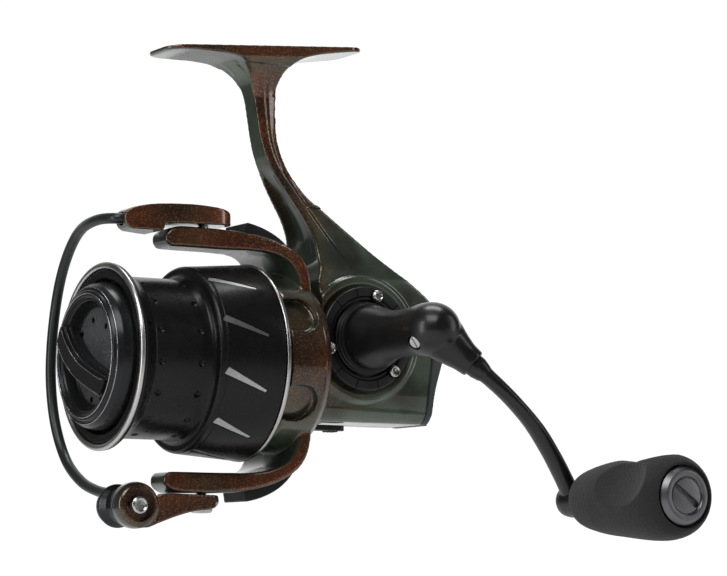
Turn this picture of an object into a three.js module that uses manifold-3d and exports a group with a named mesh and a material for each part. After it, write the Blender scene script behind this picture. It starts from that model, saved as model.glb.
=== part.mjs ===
// Open-face (fixed-spool) fishing reel of the 2500 size, in millimetres.
//
// The pieces are laid out in the shaft frame: the spool shaft is the X axis, -X is the spool's
// front, -Y is the crank side and +Z is the rod side. The last step turns the whole reel by
// SHAFT_TILT and moves it so that the foot's top face is the plane z = 0 with the origin at
// its middle.
import * as THREE from 'three';
import { mergeVertices, toCreasedNormals } from 'three/addons/utils/BufferGeometryUtils.js';
import Module from 'manifold-3d';

const wasm = await Module();
wasm.setup();

// ---------------------------------------------------------------- driving dimensions
const GAP = 0.3; // clearance between neighbouring pieces
const SHAFT_TILT = THREE.MathUtils.degToRad(5); // foot's seat against the spool shaft

const SEAT = { x: -32.3, z: 80.6 }; // middle of the foot's top face in the shaft frame
const FOOT = { length: 57.4, width: 16, thickness: 2.6, tipThickness: 1.3 };

const CRANK = { x: -8, z: 6.45 }; // crank axis, parallel to Y
const CRANK_RADIUS = 58.7; // crank axis to knob axis
const CRANK_DIRECTION = new THREE.Vector3(41.9, 0, -41.15).normalize();
const KNOB = {
  x: CRANK.x + CRANK_RADIUS * CRANK_DIRECTION.x,
  z: CRANK.z + CRANK_RADIUS * CRANK_DIRECTION.z,
};

const HOUSING = { front: -20.3, floor: -14.6, halfWidth: 12, split: 4, coverTop: 23.7 };
const NECK = { front: -37, outer: 13, clutchSeat: 11.2, bearingSeat: 7.3, bore: 5.2 };

const SHAFT_RADIUS = 2;
const GUIDE_ROD_Z = -9; // rod that keeps the crosshead from turning
const SHAFT = { front: -73.8, rear: 6.4 };
const PINION = { front: -48.8, rear: -12.9, radius: 3.4, bore: 2.3, tipRadius: 3.9, teeth: 8 };
const DRIVE_GEAR = { outer: 12, ringInner: 9, teeth: 50, back: -8.4, toothFace: -4.4, recess: -6.2 };
// The crank pin's circle sets the spool's stroke; at rest the pin is at its rear dead centre.
const OSCILLATION = { x: -2.05, z: -4.2, radius: 8, teeth: 20, pinRadius: 5.5, y0: 5.9, y1: 7.4 };

const LIP = { x: -76.2, radius: 23.25 };
const SKIRT = { front: -54.7, rear: -37.3, frontRadius: 23.35, rearRadius: 24.75 };
const BARREL_RADIUS = 20;
const DRAG_WELL = { radius: 14.3, floor: -62, mouth: -75 };
const SLASHES = 11; // bright cuts round the skirt

const ARM = { inner: 27.9, outer: 33, tip: -60, coverFrom: -38.6 }; // rotor arms beside the spool
const PIVOT_X = -47.5; // bail axis, parallel to Z
const ROLLER = { x: -69.4, z: -36.4 };
const WIRE_RADIUS = 1.4;

// ---------------------------------------------------------------- materials
const PAINT = { color: 0x4a3a28, roughness: 0.3, metalness: 0.6 };
const BLACK = { color: 0x17181a, roughness: 0.45, metalness: 0.2 };
const DARK = { color: 0x2c2e31, roughness: 0.4, metalness: 0.5 };
const STEEL = { color: 0xc6c8ca, roughness: 0.25, metalness: 1 };
const ALUMINIUM = { color: 0xa9acb0, roughness: 0.35, metalness: 1 };
const BRASS = { color: 0xb9934c, roughness: 0.35, metalness: 1 };
const CARBON = { color: 0x222222, roughness: 0.8, metalness: 0 };
const FOAM = { color: 0x2b2b2c, roughness: 0.95, metalness: 0 };

// ---------------------------------------------------------------- solids
const BUILT_FROM = 1e-4; // vertices closer than this are one vertex
const SIMPLIFIED_TO = 0.02; // edges that matter less than this are dropped

function toSolid(geometry) {
  const bare = new THREE.BufferGeometry();
  bare.setAttribute('position', geometry.getAttribute('position'));
  bare.setIndex(geometry.index);
  const welded = mergeVertices(bare, BUILT_FROM);
  const at = welded.getAttribute('position');
  const triangles = [];
  let volume = 0;
  const [a, b, c] = [new THREE.Vector3(), new THREE.Vector3(), new THREE.Vector3()];
  for (let i = 0; i < welded.index.count; i += 3) {
    const [p, q, r] = [0, 1, 2].map((k) => welded.index.getX(i + k));
    if (p === q || q === r || r === p) continue;
    triangles.push(p, q, r);
    a.fromBufferAttribute(at, p);
    b.fromBufferAttribute(at, q);
    c.fromBufferAttribute(at, r);
    volume += a.dot(b.cross(c));
  }
  if (volume < 0) triangles.reverse(); // a profile drawn the other way round faces inwards
  return new wasm.Manifold(new wasm.Mesh({
    numProp: 3,
    vertProperties: at.array,
    triVerts: new Uint32Array(triangles),
  }));
}

function toGeometry(solid) {
  const mesh = solid.simplify(SIMPLIFIED_TO).getMesh();
  const geometry = new THREE.BufferGeometry();
  geometry.setAttribute('position', new THREE.BufferAttribute(mesh.vertProperties, 3));
  geometry.setIndex(new THREE.BufferAttribute(mesh.triVerts, 1));
  return geometry;
}

const union = (...solids) => solids.reduce((sum, solid) => sum.add(solid));
const cut = (solid, ...tools) => tools.reduce((rest, tool) => rest.subtract(tool), solid);

// A solid of revolution about the X axis from [x, radius] pairs.
function turnX(profile, segments = 32) {
  const points = profile.map(([x, r]) => new THREE.Vector2(r, x));
  return toSolid(new THREE.LatheGeometry(points, segments).rotateZ(-Math.PI / 2));
}

// A solid of revolution about the line parallel to Y through (x, z), from [y, radius] pairs.
function turnY(profile, x, z, segments = 32) {
  const points = profile.map(([y, r]) => new THREE.Vector2(r, y));
  return toSolid(new THREE.LatheGeometry(points, segments).translate(x, 0, z));
}

// A solid of revolution about the line parallel to Z through (x, y), from [z, radius] pairs.
function turnZ(profile, x, y, segments = 24) {
  const points = profile.map(([z, r]) => new THREE.Vector2(r, z));
  return toSolid(new THREE.LatheGeometry(points, segments).rotateX(Math.PI / 2).translate(x, y, 0));
}

const ringProfile = (from, to, inner, outer) =>
  [[from, inner], [from, outer], [to, outer], [to, inner], [from, inner]];
const rodProfile = (from, to, radius) => [[from, 0], [from, radius], [to, radius], [to, 0]];

const ringX = (x0, x1, inner, outer, segments) => turnX(ringProfile(x0, x1, inner, outer), segments);
const rodX = (x0, x1, radius, segments) => turnX(rodProfile(x0, x1, radius), segments);
const ringY = (y0, y1, inner, outer, at, segments) =>
  turnY(ringProfile(y0, y1, inner, outer), at.x, at.z, segments);
const rodY = (y0, y1, radius, at, segments) =>
  turnY(rodProfile(y0, y1, radius), at.x, at.z, segments);
const rodZ = (z0, z1, radius, x, y, segments) => turnZ(rodProfile(z0, z1, radius), x, y, segments);

function box(x0, x1, y0, y1, z0, z1) {
  const geometry = new THREE.BoxGeometry(x1 - x0, y1 - y0, z1 - z0);
  return toSolid(geometry.translate((x0 + x1) / 2, (y0 + y1) / 2, (z0 + z1) / 2));
}

const shapeOf = (points) => new THREE.Shape(points.map(([u, v]) => new THREE.Vector2(u, v)));

function extruded(shape, depth, bevel) {
  return new THREE.ExtrudeGeometry(shape, {
    depth: depth - 2 * bevel,
    curveSegments: 6,
    bevelEnabled: bevel > 0,
    bevelThickness: bevel,
    bevelSize: bevel,
    bevelOffset: -bevel,
    bevelSegments: 1,
  }).translate(0, 0, bevel);
}

// A plate whose outline is drawn in (x, z), from y0 to y1.
function plateY(shape, y0, y1, bevel = 0) {
  return toSolid(extruded(shape, y1 - y0, bevel).rotateX(Math.PI / 2).translate(0, y1, 0));
}

// A plate whose outline is drawn in (y, z), from x0 to x1.
function plateX(shape, x0, x1, bevel = 0) {
  const turn = new THREE.Matrix4().makeBasis(
    new THREE.Vector3(0, 1, 0), new THREE.Vector3(0, 0, 1), new THREE.Vector3(1, 0, 0));
  return toSolid(extruded(shape, x1 - x0, bevel).applyMatrix4(turn).translate(x0, 0, 0));
}

// A plate whose outline is drawn in (x, y), from z0 to z1.
function plateZ(shape, z0, z1, bevel = 0) {
  return toSolid(extruded(shape, z1 - z0, bevel).translate(0, 0, z0));
}

// A smooth curve through the points, sampled as short lines.
function smooth(points, samples) {
  const curve = new THREE.CatmullRomCurve3(points.map(([u, v]) => new THREE.Vector3(u, v, 0)));
  return curve.getPoints(samples).map((p) => [p.x, p.y]);
}

// The points of an open line moved sideways by a distance, to the left of its direction.
function offsetLine(points, distance) {
  return points.map(([u, v], i) => {
    const [u0, v0] = points[Math.max(i - 1, 0)];
    const [u1, v1] = points[Math.min(i + 1, points.length - 1)];
    const length = Math.hypot(u1 - u0, v1 - v0);
    return [u - ((v1 - v0) / length) * distance, v + ((u1 - u0) / length) * distance];
  });
}

const band = (line, near, far) => shapeOf([
  ...offsetLine(line, near),
  ...offsetLine(line, far).reverse(),
]);

function roundBarShape(length, radius) {
  const shape = new THREE.Shape();
  shape.absarc(length / 2, 0, radius, -Math.PI / 2, Math.PI / 2);
  shape.absarc(-length / 2, 0, radius, Math.PI / 2, 1.5 * Math.PI);
  return shape;
}

// A toothed wheel's outline: teeth with flat tips between two radii.
function gearShape(teeth, rootRadius, tipRadius) {
  const points = [];
  const pitch = (2 * Math.PI) / teeth;
  const corners = [[-0.34, rootRadius], [-0.16, tipRadius], [0.16, tipRadius], [0.34, rootRadius]];
  for (let i = 0; i < teeth; i += 1) {
    for (const [turn, radius] of corners) {
      const angle = (i + turn) * pitch;
      points.push([radius * Math.cos(angle), radius * Math.sin(angle)]);
    }
  }
  return shapeOf(points);
}

const placed = (solid, x, y, z) => solid.translate([x, y, z]);
const spunX = (solid, degrees) => solid.rotate([degrees, 0, 0]);
const mirrorZ = (solid) => solid.mirror([0, 0, 1]);

// A point on a circle about the crank axis, angle from +X towards +Z.
function aboutCrank(radius, degrees) {
  const angle = THREE.MathUtils.degToRad(degrees);
  return { x: CRANK.x + radius * Math.cos(angle), z: CRANK.z + radius * Math.sin(angle) };
}

// ---------------------------------------------------------------- the reel's node list
const reel = new THREE.Group();
reel.name = 'spinning_reel';

function add(name, solid, look) {
  const geometry = toCreasedNormals(toGeometry(solid), 0.6);
  geometry.rotateY(SHAFT_TILT);
  geometry.translate(
    -(SEAT.x * Math.cos(SHAFT_TILT) + SEAT.z * Math.sin(SHAFT_TILT)),
    0,
    SEAT.x * Math.sin(SHAFT_TILT) - SEAT.z * Math.cos(SHAFT_TILT),
  );
  const mesh = new THREE.Mesh(geometry, new THREE.MeshStandardMaterial(look));
  mesh.name = name;
  reel.add(mesh);
}

// ---------------------------------------------------------------- housing, stem and foot
const stemFront = smooth([
  [-20.3, 21], [-19.2, 24], [-18.9, 28], [-19.3, 32.5], [-21.6, 37.5], [-25, 42.5],
  [-28.3, 47.5], [-30.9, 52.4], [-32.5, 57.5], [-33.5, 63], [-34.6, 68.5], [-36.6, 73], [-41.5, 77.2],
], 12).reverse();
const stemBack = smooth([
  [-22.5, 78.3], [-26.6, 75], [-28, 70], [-28.2, 65], [-28.1, 61], [-27.4, 56], [-25.7, 51.2],
  [-23, 46.8], [-19.5, 42.8], [-16, 40.2],
], 10);
const housingBack = smooth([
  [-16, 40.2], [-8.3, 34.2], [-0.5, 28], [7, 22.2], [13.2, 17], [17, 12.5], [17.4, 8],
  [16, 2], [13.6, -6.5], [12.9, -14.6],
], 14);
const sideOutline = shapeOf([
  [HOUSING.front, -12.6], ...stemFront.slice().reverse(), ...stemBack.slice(),
  ...housingBack.slice(1), [-18.3, HOUSING.floor],
]);
const halfWidths = [
  [3.4, 80], [3.4, 62], [3.9, 52], [5, 44], [6.4, 36], [8.3, 29], [10.4, 24], [11.6, 19.5],
  [12, 15], [12, -11], [10.8, -13.6], [9.4, -14.7],
];
const frontOutline = shapeOf([
  ...halfWidths,
  ...halfWidths.map(([w, z]) => [-w, z]).reverse(),
]);
const cavityOutline = shapeOf([
  [-18.2, -11.9], [-17.2, -13], [11.2, -13], [11.8, -6], [14.2, 2.5], [15.5, 8], [15.1, 11.4],
  [11.4, 15.6], [5, 20.3], [0, 21.8], [-17, 21.8], [-18.2, 20.6],
]);
const SCREW_POSTS = [{ x: -15.4, z: -10.4 }, { x: 11.4, z: 8.6 }, { x: 3.2, z: 17 }];
const RING_SCREW_ANGLES = [75, -45, -165];
const RING_SCREW_CIRCLE = 11.3;
const LEVER_X = -15.4; // anti-reverse lever's pivot, parallel to Z

function housingBlank() {
  return plateY(sideOutline, -HOUSING.halfWidth, HOUSING.halfWidth)
    .intersect(plateX(frontOutline, -60, 40));
}

function foot() {
  const { length, width, thickness, tipThickness } = FOOT;
  const side = shapeOf([
    [-length / 2, 0], [length / 2, 0], [length / 2, -tipThickness], [12, -thickness],
    [6, -5], [-4.5, -6], [-10, -thickness], [-length / 2, -tipThickness],
  ]);
  const plan = new THREE.Shape();
  const corner = 5;
  plan.moveTo(-length / 2, -width / 2 + corner);
  plan.quadraticCurveTo(-length / 2, -width / 2, -length / 2 + corner, -width / 2);
  plan.lineTo(length / 2 - corner, -width / 2);
  plan.quadraticCurveTo(length / 2, -width / 2, length / 2, -width / 2 + corner);
  plan.lineTo(length / 2, width / 2 - corner);
  plan.quadraticCurveTo(length / 2, width / 2, length / 2 - corner, width / 2);
  plan.lineTo(-length / 2 + corner, width / 2);
  plan.quadraticCurveTo(-length / 2, width / 2, -length / 2, width / 2 - corner);
  const across = shapeOf([
    [-width / 2, 1], [-width / 2, -1.2], [-4.2, -2.6], [-3.4, -7], [3.4, -7], [4.2, -2.6],
    [width / 2, -1.2], [width / 2, 1],
  ]);
  const level = plateY(side, -width / 2, width / 2)
    .intersect(plateZ(plan, -8, 0))
    .intersect(plateX(across, -length / 2 - 1, length / 2 + 1));
  const tilt = THREE.MathUtils.radToDeg(SHAFT_TILT);
  return level.rotate([0, -tilt, 0]).translate([SEAT.x, 0, SEAT.z]);
}

function frameBody() {
  const raisedCircle = rodY(-13, -9, 16.3, CRANK, 28)
    .intersect(box(HOUSING.front, 40, -14, 0, HOUSING.floor, 30));
  // The front wall bulges into the rotor's open back to make room for the drive gear.
  const bulge = rodX(-22.4, -19, 16.6, 32).intersect(box(-23, -18, -12.8, 17, -17, 17));
  const neck = rodX(NECK.front, -19, NECK.outer, 20);
  const shell = cut(union(housingBlank(), foot(), raisedCircle, bulge, neck),
    box(HOUSING.front, 40, HOUSING.split, 17, -20, HOUSING.coverTop),
    plateY(cavityOutline, -10.2, HOUSING.split + 0.1),
    rodY(-8.9, HOUSING.split + 0.1, DRIVE_GEAR.outer + 0.4, CRANK, 28));
  const posts = SCREW_POSTS.map((at) => rodY(-10.3, HOUSING.split, 2.4, at, 8));
  const bushCradle = box(-13.3, -11.7, -4, 4, -13.2, 0);
  const rodBoss = box(10.4, 12.6, -3, 3, -13.2, -6.5);
  const filled = union(shell, ...posts, bushCradle, rodBoss);
  const screwHoles = SCREW_POSTS.map((at) => rodY(-4.2, 4.1, 1.4, at, 8));
  const ringScrewHoles = RING_SCREW_ANGLES.map((angle) =>
    rodY(-13.1, -10.6, 1.1, aboutCrank(RING_SCREW_CIRCLE, angle), 8));
  return cut(filled,
    rodY(-13.1, -10, 7.8, CRANK, 28),
    rodX(-37.1, -28.4, NECK.clutchSeat, 28),
    rodX(-28.5, -24.6, NECK.bearingSeat, 24),
    rodX(-24.7, -18, NECK.bore, 20),
    rodX(-13.4, -11.6, 4.6, 20),
    placed(rodX(-13.4, 12.2, 1.4, 10), 0, 0, GUIDE_ROD_Z),
    rodZ(-15, -12.9, 1.8, LEVER_X, 0, 10),
    ...screwHoles, ...ringScrewHoles);
}

function sideCover() {
  const shell = cut(
    housingBlank().intersect(
      box(HOUSING.front + GAP, 40, HOUSING.split + GAP, 13, -20, HOUSING.coverTop - GAP)),
    plateY(cavityOutline, HOUSING.split, 10.2));
  const posts = SCREW_POSTS.map((at) => rodY(HOUSING.split + GAP, 11, 2.4, at, 12));
  const bearingBoss = rodY(8.4, 11.9, 8.8, CRANK, 24);
  const stud = rodY(5.6, 11, 1.8, OSCILLATION, 12);
  return cut(union(shell, ...posts, bearingBoss, stud),
    ...SCREW_POSTS.map((at) => rodY(4.2, 12.1, 1.4, at, 8)),
    ...SCREW_POSTS.map((at) => rodY(11, 12.1, 2.3, at, 12)),
    rodY(8.3, 12.1, 6.8, CRANK, 24));
}

function coverScrew(at) {
  const blank = union(rodY(-4, 11.4, 1.1, at, 8), rodY(11.3, 12.4, 2, at, 14));
  return cut(blank, placed(box(-2.1, 2.1, 12.0, 12.5, -0.3, 0.3), at.x, 0, at.z));
}

function hexSocketScrewY(at, tip, seat, crown, shankRadius, headRadius, socket) {
  const domed = turnY([
    [crown, 0], [crown, headRadius * 0.7], [crown + 0.6, headRadius], [seat, headRadius],
    [seat, shankRadius], [tip, shankRadius], [tip, 0],
  ], at.x, at.z, 10);
  return cut(domed, rodY(crown - 0.1, crown + 0.7, socket, at, 6));
}

function handleRing() {
  const ring = ringY(-14.9, -13.3, 9.7, 13.2, CRANK, 28);
  const grooves = Array.from({ length: 12 }, (_, i) => {
    const groove = box(9.4, 13.6, -15, -14.5, -0.2, 0.2);
    return placed(groove.rotate([0, 15 + i * 30, 0]), CRANK.x, 0, CRANK.z);
  });
  const seats = RING_SCREW_ANGLES.flatMap((angle) => {
    const at = aboutCrank(RING_SCREW_CIRCLE, angle);
    return [rodY(-15, -14.1, 1.9, at, 10), rodY(-15, -13.2, 1.1, at, 8)];
  });
  return cut(ring, ...grooves, ...seats);
}

function rearGuard() {
  const line = housingBack.filter(([x, z]) => z < 11 && z > -14).reverse();
  return plateY(band([[12.9, -14.6], ...line], -GAP, -1.9), -7.5, 7.5, 0.4);
}

add('frame_body', frameBody(), PAINT);
add('side_cover', sideCover(), PAINT);
add('rear_guard', rearGuard(), DARK);
add('handle_ring', handleRing(), BLACK);
RING_SCREW_ANGLES.forEach((angle, i) => {
  const at = aboutCrank(RING_SCREW_CIRCLE, angle);
  add(`ring_screw_${i + 1}`, hexSocketScrewY(at, -11, -14.3, -15.7, 0.8, 1.6, 0.8), STEEL);
});
SCREW_POSTS.forEach((at, i) => add(`cover_screw_${i + 1}`, coverScrew(at), STEEL));
add('shaft_end_cap', cut(
  union(rodY(12.3, 14, 8.4, CRANK, 24), rodY(11.8, 12.4, 6.4, CRANK, 20)),
  placed(box(-3.5, 3.5, 13.3, 14.1, -0.8, 0.8), CRANK.x, 0, CRANK.z)), DARK);

// ---------------------------------------------------------------- gear train in the housing
// A shielded ball bearing drawn as one ring with a groove in each face.
function bearingProfile(from, to, inner, outer) {
  const middle = (outer + inner) / 2;
  const groove = 0.3;
  return [
    [from, inner], [from + groove, middle], [from, outer], [to, outer], [to - groove, middle],
    [to, inner], [from, inner],
  ];
}

function driveGear() {
  const { outer, ringInner, teeth, back, toothFace, recess } = DRIVE_GEAR;
  const blank = turnY([
    [-9.8, 3.6], [-9.8, 5.6], [back, 6.4], [back, outer], [toothFace, outer],
    [toothFace, ringInner], [recess, ringInner - 0.4], [recess, 3.6], [-9.8, 3.6],
  ], CRANK.x, CRANK.z, 25);
  const tooth = box(ringInner + 0.3, outer + 1, toothFace - 0.8, toothFace + 0.2, -0.32, 0.32);
  const grooves = Array.from({ length: teeth }, (_, i) =>
    placed(tooth.rotate([0, (360 / teeth) * (i + 0.5), 0]), CRANK.x, 0, CRANK.z));
  return cut(blank, union(...grooves));
}

function driveShaft() {
  const smallGear = toSolid(extruded(gearShape(12, 3.1, 3.75), 1.9, 0)
    .rotateX(Math.PI / 2).translate(CRANK.x, 7.6, CRANK.z));
  return union(
    turnY([
      [-15.7, 0], [-15.7, 3.2], [-15.2, 3.6], [-10.1, 3.6], [-10.1, 3.3], [8.2, 3.3],
      [8.2, 2.8], [11.2, 2.8], [11.2, 0],
    ], CRANK.x, CRANK.z, 20),
    smallGear);
}

function pinionGear() {
  const { front, rear, radius, bore, tipRadius, teeth } = PINION;
  const steps = new THREE.ExtrudeGeometry(gearShape(teeth, radius, tipRadius), {
    depth: 5, steps: 3, bevelEnabled: false,
  });
  const at = steps.getAttribute('position');
  const axisZ = new THREE.Vector3(0, 0, 1);
  const helix = 0.16; // radians of twist per millimetre
  for (let i = 0; i < at.count; i += 1) {
    const p = new THREE.Vector3().fromBufferAttribute(at, i);
    p.applyAxisAngle(axisZ, p.z * helix);
    at.setXYZ(i, p.x, p.y, p.z);
  }
  const teethSolid = toSolid(steps.rotateY(Math.PI / 2).translate(-18.4, 0, 0));
  return cut(union(rodX(front, rear, radius, 14), teethSolid), rodX(front - 1, rear + 1, bore, 12));
}

function crosshead() {
  const slotX = OSCILLATION.x + OSCILLATION.pinRadius;
  const block = box(slotX - 2.5, slotX + 2.5, -3.4, 4.2, -12.3, 2.6);
  const slot = toSolid(extruded(roundBarShape(2 * OSCILLATION.pinRadius, 1.3), 1.4, 0)
    .rotateZ(Math.PI / 2).rotateX(Math.PI / 2).translate(slotX, 4.3, OSCILLATION.z - 0.3));
  return cut(block,
    slot,
    rodX(slotX - 3, slotX + 3, SHAFT_RADIUS + GAP, 18),
    placed(rodX(slotX - 3, slotX + 3, 1.45, 10), 0, 0, GUIDE_ROD_Z));
}

function oscillationGear() {
  const { x, z, radius, teeth, pinRadius, y0, y1 } = OSCILLATION;
  const wheel = toSolid(extruded(gearShape(teeth, radius - 0.75, radius), y1 - y0, 0)
    .rotateX(Math.PI / 2).translate(x, y1, z));
  const windows = [90, 210, 330].map((angle) => {
    const turn = THREE.MathUtils.degToRad(angle);
    return rodY(y0 - 1, y1 + 1, 1.5, { x: x + 4.4 * Math.cos(turn), z: z + 4.4 * Math.sin(turn) }, 8);
  });
  const pinAt = { x: x + pinRadius, z };
  return cut(union(wheel, rodY(4.5, y0 + 0.1, 0.95, pinAt, 10)),
    rodY(y0 - 1, y1 + 1, 2.1, { x, z }, 12), ...windows);
}

function lever() {
  const tab = plateZ(roundBarShape(7, 2.1), -16.4, -14.9, 0.3).translate([3.5, 0, 0]);
  return placed(union(tab, rodZ(-15, -13.05, 1.5, 0, 0, 10)), LEVER_X, 0, 0);
}

add('drive_shaft', driveShaft(), STEEL);
add('drive_gear', driveGear(), BRASS);
add('drive_bearing_crank_side',
  turnY(bearingProfile(-12.9, -10.4, 3.9, 7.5), CRANK.x, CRANK.z, 14), STEEL);
add('drive_bearing_cover_side',
  turnY(bearingProfile(8.7, 11.3, 3.1, 6.5), CRANK.x, CRANK.z, 14), STEEL);
add('pinion_gear', pinionGear(), BRASS);
add('pinion_bearing', turnX(bearingProfile(-28.1, -24.9, 3.7, 7), 14), STEEL);
add('pinion_rear_bush', ringX(-13.1, -11.9, 3.7, 4.3, 14), BRASS);
add('one_way_clutch', turnX(bearingProfile(-36.8, -28.7, 5.9, 10.9), 18), STEEL);
add('clutch_sleeve', ringX(-37.6, -28.7, 3.7, 5.6, 14), STEEL);
add('clutch_retainer', cut(ringX(-38.5, -37.3, 6.2, 12.9, 20),
  ringX(-38.6, -38.2, 8, 11.5, 20)), DARK);
add('oscillation_gear', oscillationGear(), BRASS);
add('crosshead', crosshead(), ALUMINIUM);
add('guide_rod', placed(rodX(-13, 11.9, 1.1, 10), 0, 0, GUIDE_ROD_Z), STEEL);
add('anti_reverse_lever', lever(), BLACK);

// ---------------------------------------------------------------- crank and knob
// Points in the plane of the crank axis and the arm: [distance from the crank axis, y].
function onArm(points) {
  return points.map(([s, y]) => new THREE.Vector3(
    CRANK.x + s * CRANK_DIRECTION.x, y, CRANK.z + s * CRANK_DIRECTION.z));
}

function sweep(shape, points, steps) {
  const extrudePath = new THREE.CatmullRomCurve3(points, false, 'centripetal');
  return toSolid(new THREE.ExtrudeGeometry(shape, { steps, extrudePath }));
}

function oval(halfWidth, halfHeight, points) {
  return shapeOf(Array.from({ length: points }, (_, i) => {
    const angle = (2 * Math.PI * i) / points;
    return [halfWidth * Math.cos(angle), halfHeight * Math.sin(angle)];
  }));
}

function handleShank() {
  const turned = turnY([
    [-16.1, 0], [-16.1, 3.6], [-17.3, 3.6], [-17.3, 8.1], [-18.3, 8.2], [-21, 7.6], [-25, 6.6],
    [-30, 6], [-35, 6], [-39.5, 6.4], [-43, 6.7], [-46.5, 6.5], [-49.5, 5.4], [-51.8, 3.2],
    [-52.4, 0],
  ], CRANK.x, CRANK.z, 18);
  const sleeve = sweep(oval(4, 4.2, 12), onArm([[1, -45.8], [5, -46.8], [8.5, -48.1], [12.4, -49.9]]), 6);
  const socket = sweep(oval(3.3, 3.3, 12), onArm([[7.4, -47.4], [10, -48.7], [13, -50.2]]), 2);
  return cut(union(turned, sleeve), socket, screwPocket());
}

// The arm's locking screw sits in the front of the bulb, nearly square to the arm.
const LOCK_SCREW = { y: -42.5, tilt: 20, turn: 55 };

function screwPocket() {
  const pocket = rodZ(-9, -3.4, 2, 0, 0, 14).rotate([-LOCK_SCREW.tilt, LOCK_SCREW.turn, 0]);
  return placed(pocket, CRANK.x, LOCK_SCREW.y, CRANK.z);
}

function lockScrew() {
  const blank = union(rodZ(-6.6, -5.4, 1.7, 0, 0, 14), rodZ(-5.5, -3.8, 1, 0, 0, 8));
  const slotted = cut(blank, box(-2, 2, -0.3, 0.3, -6.7, -6.2));
  return placed(slotted.rotate([-LOCK_SCREW.tilt, LOCK_SCREW.turn, 0]), CRANK.x, LOCK_SCREW.y, CRANK.z);
}

function handleArm() {
  const arm = sweep(oval(2.4, 2.8, 8), onArm([
    [7.9, -47.7], [11.8, -49.5], [17, -51.6], [24, -53.4], [33, -53.8], [42, -51.8], [51, -48.6],
    [58.2, -45.6],
  ]), 20);
  const boss = turnY([
    [-41.8, 0], [-41.8, 2.6], [-42.8, 3.9], [-45, 4.3], [-49, 4.2], [-50.5, 3.6], [-50.5, 0],
  ], KNOB.x, KNOB.z, 14);
  return cut(union(arm, boss), rodY(-50.8, -43.8, 2.3, KNOB, 12));
}

const GRIP_PROFILE = [
  [-51.7, 5.9], [-52.1, 6.6], [-54, 7.4], [-57.5, 8.2], [-62, 8.9], [-68, 9.5], [-74, 10.1],
  [-80, 10.5], [-84.5, 10.4], [-88, 9.4], [-89.8, 8.1], [-90, 7.5],
];

function knobGrip() {
  const blank = turnY([...GRIP_PROFILE, [-87.6, 7.5], [-87.6, 5.7], [-51.7, 5.7], [-51.7, 5.9]],
    KNOB.x, KNOB.z, 20);
  // A shallow dish for the thumb on top.
  const dish = rodX(-20, 20, 26, 32);
  return cut(blank, placed(dish, KNOB.x, -66, KNOB.z + 33.9));
}

add('shank_collar', turnY([
  [-14, 4], [-14, 9.3], [-15.2, 9.3], [-15.2, 8.9], [-16, 8.9], [-16, 8.5], [-16.9, 8.4],
  [-16.9, 4], [-14, 4],
], CRANK.x, CRANK.z, 24), BLACK);
add('handle_shank', handleShank(), BLACK);
add('lock_screw', lockScrew(), STEEL);
add('handle_arm', handleArm(), BLACK);
add('knob_spindle', turnY([
  [-44.1, 0], [-44.1, 2], [-84.6, 2], [-84.6, 0],
], KNOB.x, KNOB.z, 14), STEEL);
add('knob_bearing_inner', turnY(bearingProfile(-54.6, -51.9, 2.3, 3.9), KNOB.x, KNOB.z, 12), STEEL);
add('knob_bearing_outer', turnY(bearingProfile(-84.4, -81.7, 2.3, 3.9), KNOB.x, KNOB.z, 12), STEEL);
add('knob_core', turnY([
  [-50.9, 4.2], [-50.9, 5.2], [-51.6, 5.4], [-87, 5.4], [-87, 4.2], [-50.9, 4.2],
], KNOB.x, KNOB.z, 14), BLACK);
add('knob_screw', cut(rodY(-86.4, -84.9, 3.4, KNOB, 14), rodY(-86.5, -85.8, 1.3, KNOB, 6)), STEEL);
add('knob_grip', knobGrip(), FOAM);
add('knob_cap', cut(
  turnY([
    [-87.9, 0], [-87.9, 7.1], [-89.6, 7.1], [-90.8, 6.2], [-90.8, 4.6], [-90.1, 4.4], [-90.1, 0],
  ], KNOB.x, KNOB.z, 24),
  placed(box(-3.9, 3.9, -90.2, -89.3, -0.5, 0.5).rotate([0, 35, 0]), KNOB.x, 0, KNOB.z)), ALUMINIUM);

// ---------------------------------------------------------------- rotor
const armOuterLine = smooth([
  [ARM.tip + 1.2, 32.2], [-57, ARM.outer], [-50, ARM.outer + 0.1], [-44, ARM.outer], [-39, 32.6],
  [-34, 31.4], [-29.6, 29.2], [-26.4, 26], [-24.6, 22], [-24, 17],
], 12);

function rotorArm() {
  const side = shapeOf([
    ...armOuterLine, [-26.8, 17], [-27.4, 21.4], [-29.2, 24.8], [-32.2, 26.9], [-36.5, 27.8],
    [-42, ARM.inner], [ARM.tip + 1.4, ARM.inner], [ARM.tip, 29.3], [ARM.tip, 31],
  ]);
  const plan = shapeOf([
    [ARM.tip - 1, -3.6], [-57, -4.7], [-44, -5], [-38, -6.6], [-32, -10], [-27, -13.6], [-22, -15],
    [-22, 15], [-27, 13.6], [-32, 10], [-38, 6.6], [-44, 5], [-57, 4.7], [ARM.tip - 1, 3.6],
  ]);
  return plateY(side, -16, 16).intersect(plateZ(plan, 10, 40));
}

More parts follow.
